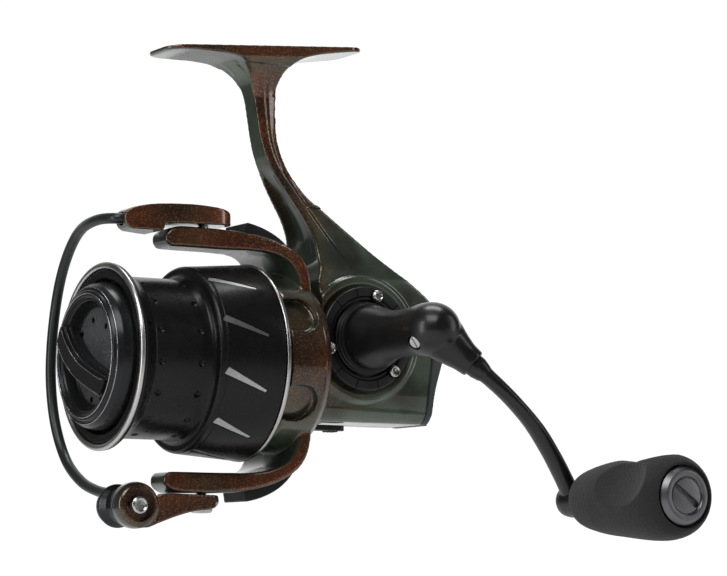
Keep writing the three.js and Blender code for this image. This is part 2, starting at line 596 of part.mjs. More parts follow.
function rotor() {
  const cup = turnX([
    [-46.8, 3.7], [-46.8, 18.6], [-46, 19.8], [-45, 20.3], [-35, 20.3], [-33.8, 22.3],
    [-24.4, 22.6], [-22.4, 21.4], [-21.9, 20.2], [-21.9, 18.6], [-34, 18.4], [-43.6, 18],
    [-44.4, 17], [-44.4, 6.4], [-40.2, 6], [-40.2, 3.7], [-46.8, 3.7],
  ], 28);
  const arm = rotorArm();
  const body = union(cup, cut(union(arm, mirrorZ(arm)), rodX(-60, 0, 18.8, 28)));
  // Windows in the flange beside each arm's root, on both sides. The cup's wall closes them.
  const window = plateY(roundBarShape(2.2, 4.2), 12, 26);
  const windows = [[1, 1], [1, -1], [-1, 1], [-1, -1]].map(([side, up]) => {
    const at = window.translate([-31, 0, 10.9 * up]);
    return cut(side > 0 ? at : at.mirror([0, 1, 0]), rodX(-40, -20, 20.5, 28));
  });
  const pivotHoles = [1, -1].map((up) =>
    rodZ(Math.min(up * 29.6, up * 34), Math.max(up * 29.6, up * 34), 1.5, PIVOT_X, 0, 12));
  return cut(body, ...windows, ...pivotHoles);
}

function armCover() {
  const from = armOuterLine.findIndex(([x]) => x > ARM.coverFrom);
  const line = armOuterLine.slice(from, armOuterLine.length - 2);
  return plateY(band(line, GAP, 2.7), -5.8, 5.8, 0.4);
}

add('rotor', rotor(), PAINT);
add('arm_cover_holder_side', armCover(), BLACK);
add('arm_cover_roller_side', mirrorZ(armCover()), BLACK);
add('rotor_nut', cut(rodX(-49.4, -47.1, 6, 6), rodX(-50, -46, 3.7, 14)), BRASS);

// ---------------------------------------------------------------- bail
function bailHolder() {
  const side = shapeOf([
    ...smooth([[-41.6, 34], [-41, 36], [-43, 37.6], [-50, 38.5], [-58, 38.5], [-66, 37.8], [-70, 36.4],
      [-70.7, 34.4], [-70.2, 32.6], [-68.6, 31.7]], 12),
    [-61.2, 31.5], [-60.6, 33.5],
  ]);
  const plan = shapeOf([
    [-71, -2.6], [-66, -4.2], [-58, -5.6], [-46, -6], [-42.6, -5], [-40.8, -2.4],
    [-40.8, 2.4], [-42.6, 5], [-46, 6], [-58, 5.6], [-66, 4.2], [-71, 2.6],
  ]);
  const shell = plateY(side, -7, 7).intersect(plateZ(plan, 28, 42));
  const seat = rodZ(35.8, 39, 3.1, PIVOT_X, 0, 18);
  const hole = rodZ(33, 39, 1.5, PIVOT_X, 0, 12);
  const wireSocket = placed(rodX(-72, -64, WIRE_RADIUS + 0.45, 12), 0, 0, 34.4);
  return cut(shell, seat, hole, wireSocket);
}

function pivotScrew(up) {
  const blank = union(rodZ(30, 36.2, 1.2, PIVOT_X, 0, 12), rodZ(36.1, 37.9, 2.8, PIVOT_X, 0, 14));
  const socketed = cut(blank, rodZ(37.1, 38.1, 1.2, PIVOT_X, 0, 6));
  return up > 0 ? socketed : mirrorZ(socketed);
}

function bailArm() {
  const side = shapeOf([
    ...smooth([[-44.4, -33.5], [-43.8, -35.2], [-46, -36.7], [-53, -37.8], [-61, -39.8], [-66.5, -41.8]], 10),
    [-69.4, -42], [-69.4, -33], [-64, -34.4], [-61, -33.4], [-58, -33.35],
  ]);
  const plan = shapeOf([
    [-69.4, -9], [-61, -8.4], [-54, -5.8], [-46, -4.6], [-43.9, -2.6], [-43.9, 2.6], [-46, 4.6],
    [-55, 4.4], [-60, -1.2], [-63, -5.2], [-69.4, -5.2],
  ]);
  const link = plateY(side, -10, 6).intersect(plateZ(plan, -44, -30));
  const head = turnY([
    [-9.6, 0], [-9.6, 4.7], [-9, 5.3], [-7.6, 5.7], [-5.2, 5.7], [-5.2, 0],
  ], ROLLER.x, ROLLER.z, 20);
  return cut(union(link, head),
    rodZ(-39, -33, 1.5, PIVOT_X, 0, 12),
    rodZ(-39, -35.8, 3.1, PIVOT_X, 0, 18),
    rodY(-9.7, -8.1, 4, ROLLER, 18),
    rodY(-9.7, -5, 1.5, ROLLER, 12));
}

function bailWire() {
  // From the holder, round the spool's far side, to the cone beside the line roller.
  const points = [
    [-66.6, 0, 34.4], [-71.4, 0, 34.4], [-72.9, 9, 34.8], [-70.8, 25, 32.4], [-68.5, 39.3, 21.3],
    [-68.4, 44, 1.4], [-68.2, 41.9, -12.8], [-67.8, 36.1, -23.2], [-68.8, 24.5, -29.6],
    [-69.2, 15, -32.2], [ROLLER.x, 6.4, ROLLER.z + 3],
  ].map(([x, y, z]) => new THREE.Vector3(x, y, z));
  const wire = sweep(oval(WIRE_RADIUS, WIRE_RADIUS, 8), points, 28);
  const flange = turnY([
    [8.8, 0], [8.8, 2], [8, 3.2], [5.2, 4.6], [3.4, 5.2], [3.4, 0],
  ], ROLLER.x, ROLLER.z, 14);
  return cut(union(wire, flange), rodY(3.3, 6.6, 1.5, ROLLER, 10));
}

add('bail_holder', bailHolder(), PAINT);
add('bail_arm', bailArm(), PAINT);
add('bail_wire', bailWire(), DARK);
add('pivot_screw_holder_side', pivotScrew(1), STEEL);
add('pivot_screw_roller_side', pivotScrew(-1), STEEL);
add('roller_screw', hexSocketScrewY(ROLLER, 6.3, -8.4, -10, 1.2, 2.3, 1.1), STEEL);
add('roller_bearing', ringY(-4.6, 2.8, 1.5, 2.9, ROLLER, 14), STEEL);
add('line_roller', turnY([
  [-4.9, 3.2], [-4.9, 5.4], [-4.1, 5.4], [-2.6, 4.1], [0.6, 4.1], [2.3, 5.4], [3.1, 5.4],
  [3.1, 3.2], [-4.9, 3.2],
], ROLLER.x, ROLLER.z, 20), DARK);

// ---------------------------------------------------------------- spool and drag
function skirtSlash() {
  const flat = plateY(shapeOf([[-53.6, -0.9], [-52.6, 0.9], [-41.6, -4.4], [-42.1, -5]]), -26, -21);
  const keep = turnX([
    [-54, 22.95], [-54, 26], [-41, 26], [-41, 24.1], [-54, 22.95],
  ], 30);
  return flat.intersect(keep);
}

function spool() {
  const { radius, floor, mouth } = DRAG_WELL;
  const blank = turnX([
    [floor, 2.4], [floor, radius], [mouth, radius], [mouth, 15.4], [-72.4, 15.8], [-72.4, 18.9],
    [-75.6, 19.2], [-75.6, 21.2], [-74.1, 21.2], [-74.1, 23], [-73.2, 23],
    [-71, BARREL_RADIUS], [-56, BARREL_RADIUS], [SKIRT.front, 21.3],
    [SKIRT.front, SKIRT.frontRadius - 0.6], [SKIRT.front + 0.6, SKIRT.frontRadius],
    [SKIRT.rear, SKIRT.rearRadius], [SKIRT.rear, 23.5], [-52.6, 22], [-53.2, 18.4],
    [-59.4, 17.6], [-59.4, 5.6], [-53.4, 5.6], [-53.4, 2.4], [floor, 2.4],
  ], 28);
  const slash = skirtSlash();
  const slashes = Array.from({ length: SLASHES }, (_, i) => spunX(slash, (360 / SLASHES) * (i + 0.3)));
  return cut(blank, ...slashes);
}

function dragKnob() {
  const cup = turnX([
    [-74.8, 0], [-74.8, 5.1], [-71, 5.1], [-71, 7.2], [-74.8, 7.4], [-75.3, 15.8], [-73, 16.2],
    [-73, 18.2], [-76, 18.3], [-78.4, 17.5], [-79.8, 16.5], [-80.2, 15.9], [-80.2, 14.4],
    [-79.4, 13.7], [-76.4, 12.6], [-76.4, 0],
  ], 24);
  // The finger bar sweeps in one curve from rim to rim, below the middle.
  const barLine = smooth([[14, 8], [9, 1.6], [3.6, -2.6], [-3, -5.6], [-9, -7.8], [-14, -9]], 12);
  const bar = plateX(band(barLine, -3, 3), -81.3, -76, 0.9);
  return union(cup, bar.intersect(rodX(-82, -75, 14.2, 24)));
}

function washer(x0, x1, inner) {
  return ringX(x0, x1, inner, 13.8, 18);
}

add('spool', spool(), BLACK);
add('spool_lip_ring', turnX([
  [-74.4, 21.5], [-74.4, 23.1], [-75.4, LIP.radius], [LIP.x, 22.6], [LIP.x, 21.5], [-74.4, 21.5],
], 30), STEEL);
add('skirt_ring', turnX([
  [-37, 23.6], [-37, 24.8], [-36.4, 25], [-35.9, 24.7], [-35.9, 23.6], [-37, 23.6],
], 30), ALUMINIUM);
add('line_clip', placed(union(
  rodY(23.6, 24.4, 2, { x: 0, z: 0 }, 14),
  box(-1.4, 4.6, 23.9, 24.5, -1.2, 1.2)), -49, 0.6, 0), DARK);
add('drag_washer_1', washer(-63.4, -62.4, 5.2), CARBON);
add('drag_plate_1', washer(-64.7, -63.7, 2.4), STEEL);
add('drag_washer_2', washer(-66, -65, 5.2), CARBON);
add('drag_retainer', ringX(-67.3, -66.3, 12.2, 13.9, 18), STEEL);
add('main_shaft', turnX([
  [SHAFT.front, 0], [SHAFT.front, 1.7], [SHAFT.front + 0.4, SHAFT_RADIUS],
  [SHAFT.rear, SHAFT_RADIUS], [SHAFT.rear, 0],
], 14), STEEL);
add('spool_seat_gear', cut(
  plateX(gearShape(14, 6.5, 7.3), -53, -52.1), rodX(-54, -51, 2.3, 12)), STEEL);
add('drag_knob', dragKnob(), BLACK);
add('drag_nut', cut(rodX(-74.4, -71.6, 4.7, 6), rodX(-75, -71, 2.3, 14)), BRASS);

export default reel;
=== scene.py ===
import math

import bmesh
import bpy
from mathutils import Matrix, Vector


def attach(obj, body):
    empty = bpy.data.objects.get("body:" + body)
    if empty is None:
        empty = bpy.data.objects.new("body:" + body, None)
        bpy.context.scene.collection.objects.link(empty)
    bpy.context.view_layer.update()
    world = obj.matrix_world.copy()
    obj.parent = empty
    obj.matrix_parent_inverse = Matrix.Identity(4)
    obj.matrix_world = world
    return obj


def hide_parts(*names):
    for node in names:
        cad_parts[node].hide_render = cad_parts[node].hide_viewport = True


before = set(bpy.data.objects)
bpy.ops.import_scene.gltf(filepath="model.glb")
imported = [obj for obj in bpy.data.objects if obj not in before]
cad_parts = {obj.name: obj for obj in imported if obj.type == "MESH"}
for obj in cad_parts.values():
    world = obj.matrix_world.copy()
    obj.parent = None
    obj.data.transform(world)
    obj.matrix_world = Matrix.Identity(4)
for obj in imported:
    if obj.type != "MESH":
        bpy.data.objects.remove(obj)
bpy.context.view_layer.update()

# Everything is drawn in millimetres in the shaft frame of the reel: the spool shaft is the X
# axis, -X is the spool's front, -Y the crank side, +Z the rod side. TO_ROW takes that to the
# row frame in metres.
SHAFT_TILT = math.radians(5)
SEAT = Vector((-32.3, 0, 80.6))
TO_ROW = (
    Matrix.Scale(0.001, 4)
    @ Matrix.Rotation(SHAFT_TILT, 4, "Y")
    @ Matrix.Translation(-SEAT)
)

CRANK = (-8.0, 6.45)  # x, z of the crank axis, parallel to Y
CRANK_RADIUS = 58.7
ARM_DIRECTION = Vector((41.9, 0, -41.15)).normalized()
KNOB = (CRANK[0] + CRANK_RADIUS * ARM_DIRECTION.x, CRANK[1] + CRANK_RADIUS * ARM_DIRECTION.z)
ROLLER = (-69.4, -36.4)  # x, z of the line roller's axis, parallel to Y
PIVOT_X = -47.5  # bail axis, parallel to Z


# ------------------------------------------------------------------ shapes in millimetres
def new_object(name, bm):
    mesh = bpy.data.meshes.new(name)
    bmesh.ops.remove_doubles(bm, verts=bm.verts, dist=1e-5)
    bmesh.ops.recalc_face_normals(bm, faces=bm.faces)
    bm.to_mesh(mesh)
    bm.free()
    obj = bpy.data.objects.new(name, mesh)
    bpy.context.scene.collection.objects.link(obj)
    return obj


def soften(profile, radius=0.25, steps=3):
    """A profile with each corner rounded; points on the axis stay."""
    closed = profile[0] == profile[-1]
    points = [Vector(p) for p in (profile[:-1] if closed else profile)]
    rounded = []
    count = len(points)
    for i, p in enumerate(points):
        if not closed and i in (0, count - 1):
            rounded.append(tuple(p))
            continue
        before, after = points[i - 1], points[(i + 1) % count]
        a, b = before - p, after - p
        reach = min(radius, 0.45 * a.length, 0.45 * b.length)
        if reach < 0.02 or abs(a.angle(b) - math.pi) < 0.12:
            rounded.append(tuple(p))
            continue
        start, end = p + a.normalized() * reach, p + b.normalized() * reach
        for k in range(steps + 1):
            t = k / steps
            rounded.append(tuple((1 - t) ** 2 * start + 2 * t * (1 - t) * p + t * t * end))
    if closed:
        rounded.append(rounded[0])
    return rounded


def lathe(name, profile, axis="X", centre=(0.0, 0.0), segments=160):
    """A turned solid. The profile is (place along the axis, radius) pairs that start and end on
    the axis or close on themselves."""
    bm = bmesh.new()

    def point(along, radius, angle):
        u, v = radius * math.cos(angle), radius * math.sin(angle)
        if axis == "X":
            return (along, centre[0] + u, centre[1] + v)
        if axis == "Y":
            return (centre[0] + u, along, centre[1] + v)
        return (centre[0] + u, centre[1] + v, along)

    rings = []
    for along, radius in profile:
        if radius < 1e-6:
            rings.append([bm.verts.new(point(along, 0, 0))] * segments)
        else:
            rings.append([
                bm.verts.new(point(along, radius, 2 * math.pi * k / segments))
                for k in range(segments)
            ])
    for lower, upper in zip(rings, rings[1:]):
        for k in range(segments):
            corners = [lower[k], lower[(k + 1) % segments], upper[(k + 1) % segments], upper[k]]
            face = list(dict.fromkeys(corners))
            if len(face) > 2:
                bm.faces.new(face)
    return new_object(name, bm)


def disc(name, lo, hi, radius, axis="X", centre=(0.0, 0.0), segments=96):
    return lathe(name, [(lo, 0), (lo, radius), (hi, radius), (hi, 0)], axis, centre, segments)


def prism(name, outline, lo, hi, across="Y"):
    """An outline pushed along one axis: (x, z) along Y, (y, z) along X, (x, y) along Z."""
    bm = bmesh.new()

    def point(u, v, w):
        return {"Y": (u, w, v), "X": (w, u, v), "Z": (u, v, w)}[across]

    bottom = [bm.verts.new(point(u, v, lo)) for u, v in outline]
    top = [bm.verts.new(point(u, v, hi)) for u, v in outline]
    bm.faces.new(bottom)
    bm.faces.new(top)
    count = len(outline)
    for i in range(count):
        j = (i + 1) % count
        bm.faces.new([bottom[i], bottom[j], top[j], top[i]])
    return new_object(name, bm)


def block(name, lo, hi):
    outline = [(lo[0], lo[2]), (hi[0], lo[2]), (hi[0], hi[2]), (lo[0], hi[2])]
    return prism(name, outline, lo[1], hi[1])


def spline(points, samples=8):
    """A smooth line through 2-D or 3-D points (centripetal Catmull-Rom)."""
    p = [Vector(q) for q in points]
    p = [2 * p[0] - p[1]] + p + [2 * p[-1] - p[-2]]
    line = []
    for i in range(1, len(p) - 2):
        knots = [0.0]
        for a, b in zip(p[i - 1:i + 2], p[i:i + 3]):
            knots.append(knots[-1] + max((b - a).length, 1e-6) ** 0.5)
        t0, t1, t2, t3 = knots
        for k in range(samples):
            t = t1 + (t2 - t1) * k / samples
            a1 = (t1 - t) / (t1 - t0) * p[i - 1] + (t - t0) / (t1 - t0) * p[i]
            a2 = (t2 - t) / (t2 - t1) * p[i] + (t - t1) / (t2 - t1) * p[i + 1]
            a3 = (t3 - t) / (t3 - t2) * p[i + 1] + (t - t2) / (t3 - t2) * p[i + 2]
            b1 = (t2 - t) / (t2 - t0) * a1 + (t - t0) / (t2 - t0) * a2
            b2 = (t3 - t) / (t3 - t1) * a2 + (t - t1) / (t3 - t1) * a3
            line.append(tuple((t2 - t) / (t2 - t1) * b1 + (t - t1) / (t2 - t1) * b2))
    line.append(tuple(p[-2]))
    return line


def tube(name, path, sizes, sides=24, up=(0, 0, 1)):
    """A closed tube along 3-D points; sizes are (half width, half height) along the path."""
    bm = bmesh.new()
    points = [Vector(q) for q in path]
    rings = []
    for i, p in enumerate(points):
        ahead = points[min(i + 1, len(points) - 1)] - points[max(i - 1, 0)]
        ahead.normalize()
        side = ahead.cross(Vector(up)).normalized()
        top = side.cross(ahead)
        place = i / (len(points) - 1) * (len(sizes) - 1)
        k = min(int(place), len(sizes) - 2)
        f = place - k
        w = sizes[k][0] * (1 - f) + sizes[k + 1][0] * f
        h = sizes[k][1] * (1 - f) + sizes[k + 1][1] * f
        ring = []
        for s in range(sides):
            angle = 2 * math.pi * s / sides
            ring.append(bm.verts.new(p + side * (w * math.cos(angle)) + top * (h * math.sin(angle))))
        rings.append(ring)
    for lower, upper in zip(rings, rings[1:]):
        for s in range(sides):
            t = (s + 1) % sides
            bm.faces.new([lower[s], lower[t], upper[t], upper[s]])
    bm.faces.new(rings[0])
    bm.faces.new(rings[-1])
    return new_object(name, bm)


def offset_line(line, distance):
    moved = []
    for i, (u, v) in enumerate(line):
        u0, v0 = line[max(i - 1, 0)]
        u1, v1 = line[min(i + 1, len(line) - 1)]
        length = math.hypot(u1 - u0, v1 - v0)
        moved.append((u - (v1 - v0) / length * distance, v + (u1 - u0) / length * distance))
    return moved


def band(line, near, far):
    return offset_line(line, near) + offset_line(line, far)[::-1]


def bar_outline(length, radius, steps=16):
    right = [math.radians(-90 + 180 * k / steps) for k in range(steps + 1)]
    points = [(length / 2 + radius * math.cos(a), radius * math.sin(a)) for a in right]
    return points + [(-x, -y) for x, y in points]


def moved(obj, matrix):
    obj.data.transform(matrix)
    if matrix.determinant() < 0:
        obj.data.flip_normals()
    return obj


def copy_of(obj, matrix=None):
    twin = obj.copy()
    twin.data = obj.data.copy()
    bpy.context.scene.collection.objects.link(twin)
    return moved(twin, matrix) if matrix else twin


def about_x(degrees):
    return Matrix.Rotation(math.radians(degrees), 4, "X")


def about_crank(degrees):
    to = Matrix.Translation((CRANK[0], 0, CRANK[1]))
    return to @ Matrix.Rotation(math.radians(-degrees), 4, "Y") @ to.inverted()


MIRROR_Z = Matrix.Diagonal((1, 1, -1, 1))


def drop(obj):
    mesh = obj.data
    bpy.data.objects.remove(obj)
    bpy.data.meshes.remove(mesh)


def joined(*objects):
    """One object holding the meshes of all; overlaps stay until a remesh or boolean."""
    bm = bmesh.new()
    for obj in objects:
        bm.from_mesh(obj.data)
    first = objects[0]
    bm.to_mesh(first.data)
    bm.free()
    for obj in objects[1:]:
        drop(obj)
    return first


def settle(obj):
    """Applies the object's modifiers."""
    shapes = bpy.context.evaluated_depsgraph_get()
    mesh = bpy.data.meshes.new_from_object(obj.evaluated_get(shapes))
    obj.modifiers.clear()
    old = obj.data
    obj.data = mesh
    bpy.data.meshes.remove(old)
    return obj


def fused(first, *others):
    for other in others:
        combine(first, other, "UNION")
    return first


def combine(obj, tool, operation):
    modifier = obj.modifiers.new("combine", "BOOLEAN")
    modifier.operation = operation
    modifier.solver = "MANIFOLD"
    modifier.object = tool
    settle(obj)
    drop(tool)
    return obj


def carve(obj, *tools):
    for tool in tools:
        combine(obj, tool, "DIFFERENCE")
    return obj


def keep(obj, tool):
    return combine(obj, tool, "INTERSECT")


def skin(obj, voxel=0.3, rounds=6):
    """Overlapping solids become one even skin with soft edges, as cast and painted metal has."""
    remesh = obj.modifiers.new("skin", "REMESH")
    remesh.mode = "VOXEL"
    remesh.voxel_size = voxel
    if rounds:
        smooth = obj.modifiers.new("soft edges", "SMOOTH")
        smooth.factor = 0.5
        smooth.iterations = rounds
    return settle(obj)


def place(obj, name, body, material, nodes, slot, sharp=35):
    """The finished piece goes to the row frame, rides its body and stands for its CAD nodes."""
    obj.name = name
    obj.data.name = name
    obj.data.transform(TO_ROW)
    obj.data.shade_smooth()
    if sharp:
        obj.data.set_sharp_from_angle(angle=math.radians(sharp))
    obj.data.materials.clear()
    obj.data.materials.append(material)
    for polygon in obj.data.polygons:
        polygon.material_index = 0
    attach(obj, body)
    if nodes:
        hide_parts(*nodes)
    return obj


# ------------------------------------------------------------------ materials
class Look:
    """A node material being put together, with helpers for the nodes used here."""

    def __init__(self, name):
        self.material = bpy.data.materials.new(name)
        self.material.use_nodes = True
        self.nodes = self.material.node_tree.nodes
        self.links = self.material.node_tree.links
        self.shader = self.nodes["Principled BSDF"]
        self.coordinates = self.nodes.new("ShaderNodeTexCoord")

    def set(self, **values):
        for key, value in values.items():
            self.shader.inputs[key.replace("_", " ")].default_value = value
        return self

    def noise(self, scale, detail=4, roughness=0.6, stretch=None):
        node = self.nodes.new("ShaderNodeTexNoise")
        node.inputs["Scale"].default_value = scale
        node.inputs["Detail"].default_value = detail
        node.inputs["Roughness"].default_value = roughness
        source = self.coordinates.outputs["Object"]
        if stretch:
            mapping = self.nodes.new("ShaderNodeMapping")
            mapping.inputs["Scale"].default_value = stretch
            self.links.new(source, mapping.inputs["Vector"])
            source = mapping.outputs["Vector"]
        self.links.new(source, node.inputs["Vector"])
        return node.outputs["Fac"]

    def cells(self, scale, feature="F1"):
        node = self.nodes.new("ShaderNodeTexVoronoi")
        node.feature = feature
        node.inputs["Scale"].default_value = scale
        self.links.new(self.coordinates.outputs["Object"], node.inputs["Vector"])
        return node

    def ramp(self, source, low, high, to_low=0.0, to_high=1.0):
        node = self.nodes.new("ShaderNodeMapRange")
        node.inputs["From Min"].default_value = low
        node.inputs["From Max"].default_value = high
        node.inputs["To Min"].default_value = to_low
        node.inputs["To Max"].default_value = to_high
        self.links.new(source, node.inputs["Value"])
        return node.outputs["Result"]

    def maths(self, operation, a, b=0.0):
        node = self.nodes.new("ShaderNodeMath")
        node.operation = operation
        for socket, value in zip(node.inputs, (a, b)):
            if isinstance(value, (int, float)):
                socket.default_value = value
            else:
                self.links.new(value, socket)
        return node.outputs["Value"]

    def mix(self, factor, a, b):
        node = self.nodes.new("ShaderNodeMix")
        node.data_type = "RGBA"
        self.links.new(factor, node.inputs["Factor"])
        for socket, value in ((node.inputs[6], a), (node.inputs[7], b)):
            if isinstance(value, tuple):
                socket.default_value = (*value, 1)
            else:
                self.links.new(value, socket)
        return node.outputs[2]

    def colour(self, source):
        self.links.new(source, self.shader.inputs["Base Color"])
        return self

    def rough(self, source):
        self.links.new(source, self.shader.inputs["Roughness"])
        return self

    def bump(self, source, distance, strength=1.0):
        node = self.nodes.new("ShaderNodeBump")
        node.inputs["Distance"].default_value = distance
        node.inputs["Strength"].default_value = strength
        self.links.new(source, node.inputs["Height"])
        self.links.new(node.outputs["Normal"], self.shader.inputs["Normal"])
        return self


def shift_paint(name, copper, gold, green, rear=0.0):
    """Gloss colour-shift paint. The real paint changes hue with the angle it is seen at; here the
    hue is painted in by face direction for one fixed viewing direction, so it is partly the
    paint's own colour and partly painted reflection: copper where a face looks out sideways and
    forward, then gold, then green towards the top, the bottom and the edges, with fine orange
    flakes and near-black patches painted in as reflections of dark surroundings. The rear
    amount makes the low rear of the housing greener."""
    look = Look(name)
    split = look.nodes.new("ShaderNodeSeparateXYZ")
    look.links.new(look.coordinates.outputs["Normal"], split.inputs[0])
    along = look.maths("ABSOLUTE", split.outputs[0])
    sideways = look.maths("ABSOLUTE", split.outputs[1])
    # Painted reflection colour: how far a face looks towards one fixed viewing direction picks its hue below.
    facing = look.maths(
        "ADD", look.maths("MULTIPLY", along, 0.42), look.maths("MULTIPLY", sideways, 0.88))
    drift = look.ramp(look.noise(38, 3), 0.3, 0.7, -0.12, 0.1)
    facing = look.maths("ADD", facing, drift)
    if rear:
        place = look.nodes.new("ShaderNodeSeparateXYZ")
        look.links.new(look.coordinates.outputs["Object"], place.inputs[0])
        back = look.ramp(place.outputs[0], 0.0, 0.024)
        low = look.ramp(place.outputs[2], -0.028, -0.05)
        low_rear = look.maths("MULTIPLY", back, low)
        facing = look.maths("SUBTRACT", facing, look.maths("MULTIPLY", low_rear, rear))
    base = look.mix(look.ramp(facing, 0.46, 0.76), green, gold)
    base = look.mix(look.ramp(facing, 0.78, 0.94), base, copper)
    flakes = look.cells(5200)
    chosen = look.nodes.new("ShaderNodeSeparateColor")
    look.links.new(flakes.outputs["Color"], chosen.inputs[0])
    # Painted reflection: near-black noise patches stand in for dark surroundings reflected in the gloss
    # paint.
    dark_reflection_patches = look.ramp(look.noise(75, 2, 0.5), 0.36, 0.56, 0.3, 1.0)
    base = look.mix(dark_reflection_patches, (0.012, 0.011, 0.009), base)
    bright = look.ramp(chosen.outputs[0], 0.78, 1.0, 0.0, 0.75)
    bright = look.maths("MULTIPLY", bright, look.ramp(facing, 0.55, 0.95, 0.12, 1.0))
    base = look.mix(bright, base, (0.62, 0.2, 0.055))
    look.colour(base)
    look.rough(look.ramp(chosen.outputs[1], 0, 1, 0.28, 0.48))
    look.set(Metallic=0.72, Coat_Weight=1.0, Coat_Roughness=0.05, Coat_IOR=1.5)
    look.bump(chosen.outputs[2], 0.00001, 0.5)
    return look.material


def satin(name, colour, metallic, low, high, grain=0.00001, scale=1800, coat=0.0):
    look = Look(name)
    light = tuple(min(1.0, c * 1.25 + 0.004) for c in colour)
    look.colour(look.mix(look.noise(90, 5), colour, light))
    look.rough(look.ramp(look.noise(260, 6), 0.3, 0.7, low, high))
    look.set(Metallic=metallic, Coat_Weight=coat, Coat_Roughness=0.2, Specular_IOR_Level=0.35)
    look.bump(look.noise(scale, 3), grain, 0.5)
    return look.material


def turned_metal(name, colour, low, high, stretch):
    """Metal with fine tool lines; stretch squeezes the noise so that the lines run one way."""
    look = Look(name)
    lines = look.noise(700, 4, 0.7, stretch)
    dark = tuple(c * 0.8 for c in colour)
    look.colour(look.mix(look.ramp(lines, 0.3, 0.7), dark, colour))
    look.rough(look.ramp(look.noise(150, 4), 0.3, 0.7, low, high))
    look.set(Metallic=1.0)
    look.bump(lines, 0.000012, 0.4)
    return look.material


def foam_look():
    look = Look("eva_foam")
    cells = look.cells(1500, "F1")
    fine = look.noise(2600, 4, 0.7)
    look.colour(look.mix(look.noise(120, 5), (0.01, 0.01, 0.011), (0.026, 0.026, 0.027)))
    look.rough(look.ramp(fine, 0.3, 0.7, 0.8, 0.98))
    pitted = look.maths("ADD", look.maths("MULTIPLY", cells.outputs["Distance"], 0.6), fine)
    look.set(Specular_IOR_Level=0.3, Sheen_Weight=0.12, Sheen_Roughness=0.5)
    look.bump(pitted, 0.00016, 0.75)
    return look.material


def woven_look():
    look = Look("carbon_weave")
    weave = look.nodes.new("ShaderNodeTexChecker")
    weave.inputs["Scale"].default_value = 900
    look.links.new(look.coordinates.outputs["Object"], weave.inputs["Vector"])
    look.colour(look.mix(weave.outputs["Fac"], (0.02, 0.02, 0.02), (0.06, 0.06, 0.06)))
    look.rough(look.ramp(look.noise(900), 0.3, 0.7, 0.4, 0.7))
    look.bump(weave.outputs["Fac"], 0.00003, 0.5)
    return look.material


COPPER, GOLD, GREEN = (0.105, 0.034, 0.015), (0.07, 0.058, 0.027), (0.075, 0.105, 0.078)
PAINT = shift_paint("shift_paint", COPPER, GOLD, GREEN)
BODY_PAINT = shift_paint("body_shift_paint", COPPER, GOLD, GREEN, 0.45)
BLACK_PLASTIC = satin("black_plastic", (0.007, 0.007, 0.008), 0.0, 0.3, 0.46, 0.00001)
GLOSS_BLACK = satin("handle_black", (0.004, 0.004, 0.0045), 0.0, 0.3, 0.4, 0.000004, 900, coat=0.25)
SPOOL_BLACK = satin("spool_black", (0.013, 0.0135, 0.014), 0.6, 0.24, 0.33, 0.000006)
FLOOR_GREY = satin("knob_floor_grey", (0.2, 0.205, 0.21), 0.8, 0.22, 0.32, 0.000006)
KNOB_BLACK = satin("drag_knob_black", (0.02, 0.021, 0.022), 0.6, 0.2, 0.3, 0.000006)
WIRE_BLACK = satin("wire_dark", (0.03, 0.032, 0.032), 0.6, 0.28, 0.4, 0.000006)
# Painted highlight: the pale grey of the thin strips that stand in for light caught by the drag knob's edges.
EDGE_HIGHLIGHT_GREY = satin("painted_edge_highlight_grey", (0.3, 0.3, 0.31), 1.0, 0.2, 0.3, 0.000004)
ROLLER_DARK = satin("roller_dark", (0.03, 0.031, 0.033), 0.8, 0.22, 0.34, 0.000006)
GUARD_GREY = satin("guard_grey", (0.05, 0.053, 0.058), 0.2, 0.35, 0.5)
STEEL = turned_metal("plain_steel", (0.62, 0.62, 0.61), 0.2, 0.34, (1, 1, 8))
BRIGHT = turned_metal("machined_aluminium", (0.62, 0.61, 0.6), 0.24, 0.36, (14, 1, 1))
CUT_BRIGHT = turned_metal("cut_aluminium", (0.5, 0.5, 0.5), 0.3, 0.42, (1, 1, 6))
CAP_GREY = turned_metal("cap_grey", (0.19, 0.19, 0.2), 0.3, 0.42, (1, 14, 1))
BRASS = turned_metal("machined_brass", (0.62, 0.46, 0.2), 0.26, 0.4, (10, 1, 1))
CARBON = woven_look()
FOAM = foam_look()


# ------------------------------------------------------------------ housing, stem and foot
STEM_FRONT = spline([
    (-20.3, 21), (-19.2, 24), (-18.9, 28), (-19.3, 32.5), (-21.6, 37.5), (-25, 42.5),
    (-28.3, 47.5), (-30.9, 52.4), (-32.5, 57.5), (-33.5, 63), (-34.6, 68.5), (-36.6, 73),
    (-41.5, 77.2),
])
STEM_BACK = spline([
    (-22.5, 78.3), (-26.6, 75), (-28, 70), (-28.2, 65), (-28.1, 61), (-27.4, 56), (-25.7, 51.2),
    (-23, 46.8), (-19.5, 42.8), (-16, 40.2),
])
HOUSING_BACK = spline([
    (-16, 40.2), (-8.3, 34.2), (-0.5, 28), (7, 22.2), (13.2, 17), (17, 12.5), (17.4, 8),
    (16, 2), (13.6, -6.5), (12.9, -14.6),
])
SIDE_OUTLINE = [(-20.3, -12.6)] + STEM_FRONT + STEM_BACK + HOUSING_BACK[1:] + [(-18.3, -14.6)]
HALF_WIDTHS = spline([
    (3.4, 80), (3.4, 62), (3.9, 52), (5, 44), (6.4, 36), (8.3, 29), (10.4, 24), (11.6, 19.5),
    (12, 15), (12, -11), (10.8, -13.6), (9.4, -14.7),
], 5)
CAVITY = [
    (-18.2, -11.9), (-17.2, -13), (11.2, -13), (11.8, -6), (14.2, 2.5), (15.5, 8), (15.1, 11.4),
    (11.4, 15.6), (5, 20.3), (0, 21.8), (-17, 21.8), (-18.2, 20.6),
]
